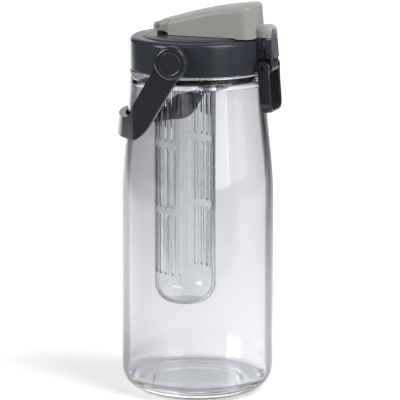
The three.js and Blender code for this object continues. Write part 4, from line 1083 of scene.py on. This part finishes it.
inner_low = LOOP_BAR - LOOP_LENGTH
strap_top = LOOP_EYE + OVERSHOOT
strap = prism([
    (-LOOP_OUTER, strap_top), (-LOOP_OUTER, -LOOP_LENGTH, LOOP_CORNER),
    (LOOP_OUTER, -LOOP_LENGTH, LOOP_CORNER), (LOOP_OUTER, strap_top), (LOOP_INNER, strap_top),
    (LOOP_INNER, inner_low, LOOP_INNER_CORNER), (-LOOP_INNER, inner_low, LOOP_INNER_CORNER),
    (-LOOP_INNER, strap_top),
], -STRAP_HALF, STRAP_HALF, "front", segments=8)
side_view = prism([
    (-LOOP_EYE, LOOP_EYE, LOOP_EYE * FULL_ROUND), (LOOP_EYE, LOOP_EYE, LOOP_EYE * FULL_ROUND),
    (LOOP_HALF, -LOOP_NECK, LOOP_NECK_ROUND), (LOOP_HALF, -LOOP_LENGTH, LOOP_TIP_ROUND),
    (-LOOP_HALF, -LOOP_LENGTH, LOOP_TIP_ROUND), (-LOOP_HALF, -LOOP_NECK, LOOP_NECK_ROUND),
], -LOOP_OUTER - OVERSHOOT, LOOP_OUTER + OVERSHOOT, "side", segments=8)
loop_shape = soften(combined(strap, "INTERSECT", side_view), LOOP_EDGE)
pin_hole = bar(LOCK_PIN_HOLE, 0, 0, -HOLE_HALF, HOLE_HALF)
loop_shape = combined(loop_shape, "DIFFERENCE", pin_hole)
moved(rotated(loop_shape, LOOP_LEAN, "Y"), *LOCK_PIN)
loop = finished(loop_shape, "loop", satin_charcoal)
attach(loop, "loop")
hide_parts("lock_loop")

# Carry handle: one charcoal bail. Its flat arms lean back from an eye on each journal and run into
# a bowed grip behind the bottle; all its edges are rounded for the hand.
EYE_INNER = 50.2
EYE_OUTER = 57
EYE_RADIUS = 12.4
EYE_ROUND = 2.6
BAND = 5
EYE_LIP = 3
CAP_SEAT = 9.3
SEAT_FLARE = 0.3
SEAT_EDGE = 0.2
ARM_LEAN = math.radians(31.2)
ARM_OFFSET = 0.9
ARM_TOP_WIDTH = 18.9
ARM_LOW_WIDTH = 18.1
ARM_LENGTH = 45
GRIP_LOW = 192.7
GRIP_TOP = 207.7
BOW_X = 8
BOW_RADIUS = 66.3
BOW_FLAT = math.radians(140)
BOW_FLAT_SHARES = (0, 0.03, 0.97)
BOW_SLANT = 1.7
SLANT_START = 30
SLANT_SPAN = 20
HANDLE_EDGE = 2
HANDLE_JOIN_GAP = 0.05
HEEL_BEND = 1.6


def arm_point(along, sideways):
    """A point of the arm's side view, from its distance below the pivot and off its middle line."""
    return (
        ARM_OFFSET - along * math.sin(ARM_LEAN) + sideways * math.cos(ARM_LEAN),
        PIVOT_Z - along * math.cos(ARM_LEAN) - sideways * math.sin(ARM_LEAN),
    )


def at_height(line, z):
    """The point of a line of the side view at a height."""
    (x0, z0), (x1, z1) = line
    return (x0 + (x1 - x0) * (z - z0) / (z1 - z0), z)


def bend(start, corner, end, count=10):
    """A soft corner between two lines."""
    pulls = [
        tuple(point[i] + (corner[i] - point[i]) * 2 / 3 for i in (0, 1)) for point in (start, end)
    ]
    return curve_points(start, *pulls, end, count)


def bow(radius, y, count=44):
    """The bow of the grip in plan, from one arm round to the other, with a flat next to each arm."""
    reach = math.pi - BOW_FLAT
    angles = [BOW_FLAT + 2 * reach * i / count for i in range(count + 1)]
    curve = [(BOW_X + radius * math.cos(a), radius * math.sin(a)) for a in angles]
    root_x = BOW_X - math.sqrt(radius ** 2 - y ** 2)
    bow_x, bow_y = curve[0]
    flat = [(root_x + (bow_x - root_x) * share, y + (bow_y - y) * share) for share in BOW_FLAT_SHARES]
    return [*flat, *curve, *[(x, -y) for x, y in reversed(flat)]]


def slanted(shape):
    """Leans the bow in towards its top, along the bottle's shoulder."""
    for vert in shape.verts:
        rise = min(1, max(0, (vert.co.z - GRIP_LOW) / (GRIP_TOP - GRIP_LOW)))
        share = min(1, max(0, (-vert.co.x - SLANT_START) / SLANT_SPAN))
        vert.co.x += BOW_SLANT * rise * share
    return shape


arm_front = EYE_RADIUS + OVERSHOOT
band_outer = EYE_INNER + BAND
band = prism([
    (arm_front, band_outer), *bow(BOW_RADIUS, band_outer), (arm_front, -band_outer),
    (arm_front, -EYE_INNER), *reversed(bow(BOW_RADIUS - BAND, EYE_INNER)), (arm_front, EYE_INNER),
], GRIP_LOW - OVERSHOOT, PIVOT_Z + EYE_RADIUS, "plan")
grip_bend = (GRIP_TOP - GRIP_LOW) / 2
upper_line = (arm_point(0, -ARM_TOP_WIDTH / 2), arm_point(ARM_LENGTH, -ARM_LOW_WIDTH / 2))
lower_line = (arm_point(0, ARM_TOP_WIDTH / 2), arm_point(ARM_LENGTH, ARM_LOW_WIDTH / 2))
inner_turn = at_height(upper_line, GRIP_TOP)
outer_turn = at_height(lower_line, GRIP_LOW)
grip_back = BOW_X - BOW_RADIUS - OVERSHOOT
bail = prism([
    lower_line[0], upper_line[0],
    *bend(
        at_height(upper_line, GRIP_TOP + grip_bend), inner_turn, (inner_turn[0] - grip_bend, GRIP_TOP),
    ),
    (grip_back, GRIP_TOP), (grip_back, GRIP_LOW),
    *bend(
        (outer_turn[0] - grip_bend, GRIP_LOW), outer_turn,
        at_height(lower_line, GRIP_LOW + HEEL_BEND * grip_bend),
    ),
], -EYE_OUTER - OVERSHOOT, EYE_OUTER + OVERSHOOT, "side")
handle_shape = slanted(combined(band, "INTERSECT", bail))
bmesh.ops.remove_doubles(handle_shape, verts=handle_shape.verts, dist=HANDLE_JOIN_GAP)
soften(handle_shape, HANDLE_EDGE, steeper=60, segments=4)
eye = across(turned([
    (0, EYE_INNER), (EYE_RADIUS, EYE_INNER, SOFT_ROUND), (EYE_RADIUS, EYE_OUTER, EYE_ROUND),
    (0, EYE_OUTER),
], steps=72), 0, PIVOT_Z)
journal_room = JOURNAL_RADIUS + FIT_GAP
eye_bore = across(turned([
    (0, EYE_INNER - OVERSHOOT), (journal_room, EYE_INNER - OVERSHOOT),
    (journal_room, EYE_INNER + EYE_LIP), (CAP_SEAT, EYE_INNER + EYE_LIP),
    (CAP_SEAT, EYE_OUTER - SEAT_EDGE), (CAP_SEAT + SEAT_FLARE, EYE_OUTER + SEAT_EDGE),
    (0, EYE_OUTER + SEAT_EDGE),
], steps=72), 0, PIVOT_Z)
handle_shape = combined(handle_shape, "UNION", eye, mirrored(eye))
handle_shape = combined(handle_shape, "DIFFERENCE", eye_bore, mirrored(eye_bore))
handle = finished(handle_shape, "handle", satin_charcoal)
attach(handle, "handle")
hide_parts("carry_handle")

# Handle caps: round charcoal plugs snapped into the eyes. Each hides the steel washer and the
# screw that hold the eye on its journal.
CAP_RADIUS = 9
CAP_FACE = 57.4
CAP_SKIRT_LOW = 54.9
CAP_SKIRT = 7.2
CAP_INSIDE = 56.5
CAP_DISH = 0.25
CAP_RIM = 1.1
CAP_RIM_DROP = 0.4
CAP_RIM_ROUND = 0.2
cap_shape = across(turned([
    (0, CAP_FACE - CAP_DISH), (CAP_RADIUS - CAP_RIM, CAP_FACE - CAP_DISH, EDGE_ROUND),
    (CAP_RADIUS - CAP_RIM / 2, CAP_FACE, CAP_RIM_ROUND),
    (CAP_RADIUS, CAP_FACE - CAP_RIM_DROP, CAP_RIM_ROUND), (CAP_RADIUS, CAP_SKIRT_LOW),
    (CAP_SKIRT, CAP_SKIRT_LOW), (CAP_SKIRT, CAP_INSIDE), (0, CAP_INSIDE),
], steps=72), 0, PIVOT_Z)
for side, shape in (("left", mirrored(cap_shape)), ("right", cap_shape)):
    cap = finished(shape, "cap_" + side, satin_charcoal)
    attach(cap, "handle")
    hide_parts("handle_cap_" + side)
    for part in ("washer_", "screw_"):
        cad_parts["handle_" + part + side].material_slots[0].material = drawn_steel

# Stage: a white paper sheet on a grey table, lit by softboxes over the right, on the right, at the
# right front corner, at the left front and behind, with the camera where the photograph was taken
# from. The camera sees the table white too; its grey shows only in reflections and through the clear
# walls, as painted shade there. Paper glow by kind of ray makes the ground white, paints a reflected
# sheen towards the left and paints light and shade into what the clear walls show.
FLOOR_HALF = 6
CAMERA_AZIMUTH = math.radians(20.5)
CAMERA_DISTANCE = 2.3
CAMERA_HEIGHT = 0.608
CAMERA_AIM = (0, 0, 0.141)
CAMERA_LENS = 287.6
CAMERA_SHIFT = 0.0065
CAMERA_SENSOR = 36
LAMP_AIM = (0, 0, 0.2)
AWAY = Vector((-math.sin(CAMERA_AZIMUTH), math.cos(CAMERA_AZIMUTH), 0))
LEFT = Vector((-math.cos(CAMERA_AZIMUTH), -math.sin(CAMERA_AZIMUTH), 0))
SHEET_EDGES = ((LEFT, 1.12, 0.38), (-LEFT, 1.1, 0.06), (-AWAY, 0.4, 0.06))
# Painted shade: a grey that the camera never sees, only reflections and the clear walls.
REFLECTED_SHADE_GREY = "#54565A"
SHEET_WHITE = "#F4F4F4"
SKY_COLOUR = "#E6E8EA"
SKY = 0.02
SKY_THROUGH = 0.6
SHEET_LIFT = (0.4, 0.7)
SHEET_LIFT_REACH = (0.08, 0.5)
THROUGH_LIFT = (0.4, 0.0)
THROUGH_LIFT_REACH = 0.06
THROUGH_EDGE = 0.5
SHEEN_LIFT = 1.3
SHEEN_REACH = 0.3
SOFTBOXES = (
    ("key_softbox", (1.2, -0.3, 1.8), 1.2, 1.2, 36),
    ("right_softbox", (2.0, -0.2, 0.7), 1.4, 1.4, 6),
    ("corner_softbox", (1.75, -1.05, 0.45), 0.9, 1.2, 8),
    ("left_softbox", (-1.4, -1.5, 0.9), 1.0, 1.0, 34),
    ("back_softbox", (0, 2.6, 1.2), 6.0, 2.4, 35),
)
floor_shape = bmesh.new()
bmesh.ops.create_grid(floor_shape, x_segments=1, y_segments=1, size=FLOOR_HALF)
floor = meshed("floor", floor_shape)
paper, tree = new_finish("white_paper")
path = add(tree, "ShaderNodeLightPath").outputs
spot = add(tree, "ShaderNodeTexCoord").outputs["Object"]
on_sheet = 1
for toward, reach, fade in SHEET_EDGES:
    along = add(tree, "ShaderNodeVectorMath", {0: spot, 1: toward}, operation="DOT_PRODUCT")
    inside = add(
        tree, "ShaderNodeMapRange",
        {"Value": along, "From Min": reach, "From Max": reach - fade},
    )
    on_sheet = add(tree, "ShaderNodeMath", {0: on_sheet, 1: inside}, operation="MULTIPLY")
sideways = add(tree, "ShaderNodeVectorMath", {0: spot, 1: LEFT}, operation="DOT_PRODUCT")
# Painted shade in the clear walls: rays through them see the paper turn grey far to the right.
through_wall_paleness = add(
    tree, "ShaderNodeMapRange",
    {"Value": sideways, "From Min": -THROUGH_EDGE, "From Max": -THROUGH_EDGE / 2},
)
paleness = add(
    tree, "ShaderNodeMix",
    {"Factor": path["Is Transmission Ray"], "A": on_sheet, "B": through_wall_paleness},
)
shade = add(
    tree, "ShaderNodeMix",
    {"Factor": paleness, "A": linear(REFLECTED_SHADE_GREY), "B": linear(SHEET_WHITE)},
    data_type="RGBA",
)
off_axis = add(tree, "ShaderNodeVectorMath", {0: spot}, operation="LENGTH")
near_lift = add(
    tree, "ShaderNodeMapRange",
    {
        "Value": off_axis,
        "From Min": SHEET_LIFT_REACH[0], "From Max": SHEET_LIFT_REACH[1],
        "To Min": SHEET_LIFT[0], "To Max": SHEET_LIFT[1],
    },
)
camera_lift = add(tree, "ShaderNodeMix", {"Factor": on_sheet, "A": 1.0, "B": near_lift})
lift = add(tree, "ShaderNodeMath", {0: path["Is Camera Ray"], 1: camera_lift}, operation="MULTIPLY")
# Painted reflection: the paper glows only for mirrored rays, more to the left, lighting the lid's left
# edge and the grip's outer strip.
mirrored_ray = add(
    tree, "ShaderNodeMath",
    {0: path["Is Glossy Ray"], 1: path["Is Transmission Ray"]}, operation="SUBTRACT", use_clamp=True,
)
sheen = add(
    tree, "ShaderNodeMapRange",
    {"Value": sideways, "From Min": -SHEEN_REACH, "From Max": SHEEN_REACH, "To Max": SHEEN_LIFT},
)
# Painted light in the clear walls: rays through them see the paper glow on the right, not the left.
through_wall_glow = add(
    tree, "ShaderNodeMapRange",
    {
        "Value": sideways,
        "From Min": -THROUGH_LIFT_REACH, "From Max": THROUGH_LIFT_REACH,
        "To Min": THROUGH_LIFT[0], "To Max": THROUGH_LIFT[1],
    },
)
for ray, amount in (
    (path["Is Transmission Ray"], through_wall_glow),
    (mirrored_ray, sheen),
):
    part = add(tree, "ShaderNodeMath", {0: ray, 1: paleness}, operation="MULTIPLY")
    lift = add(tree, "ShaderNodeMath", {0: part, 1: amount, 2: lift}, operation="MULTIPLY_ADD")
matt = add(tree, "ShaderNodeBsdfDiffuse", {"Color": shade})
glow = add(tree, "ShaderNodeEmission", {"Strength": lift})
both = add(tree, "ShaderNodeAddShader", {0: matt, 1: glow})
add(tree, "ShaderNodeOutputMaterial", {"Surface": both})
floor.data.materials.append(paper)

world = bpy.data.worlds.new("studio")
bpy.context.scene.world = world
world.use_nodes = True
world.node_tree.nodes.clear()
path = add(world.node_tree, "ShaderNodeLightPath").outputs
# Painted light seen through the clear walls: the dark sky glows only for rays that pass through them.
glare = add(
    world.node_tree, "ShaderNodeMath",
    {0: path["Is Transmission Ray"], 1: SKY_THROUGH, 2: SKY}, operation="MULTIPLY_ADD",
)
sky = add(world.node_tree, "ShaderNodeBackground", {"Color": linear(SKY_COLOUR), "Strength": glare})
add(world.node_tree, "ShaderNodeOutputWorld", {"Surface": sky})

for name, place, width, height, watts in SOFTBOXES:
    lamp = bpy.data.lights.new(name, "AREA")
    lamp.shape = "RECTANGLE"
    lamp.size = width
    lamp.size_y = height
    lamp.energy = watts
    holder = in_scene(name, lamp)
    holder.location = place
    holder.rotation_euler = (Vector(LAMP_AIM) - Vector(place)).to_track_quat("-Z", "Y").to_euler()

camera_data = bpy.data.cameras.new("camera")
camera_data.sensor_width = CAMERA_SENSOR
camera_data.lens = CAMERA_LENS
camera_data.shift_x = CAMERA_SHIFT
camera = in_scene("camera", camera_data)
camera.location = -AWAY * CAMERA_DISTANCE + Vector((0, 0, CAMERA_HEIGHT))
camera.rotation_euler = (Vector(CAMERA_AIM) - camera.location).to_track_quat("-Z", "Y").to_euler()
bpy.context.scene.camera = camera
bpy.context.scene.view_settings.view_transform = "Standard"
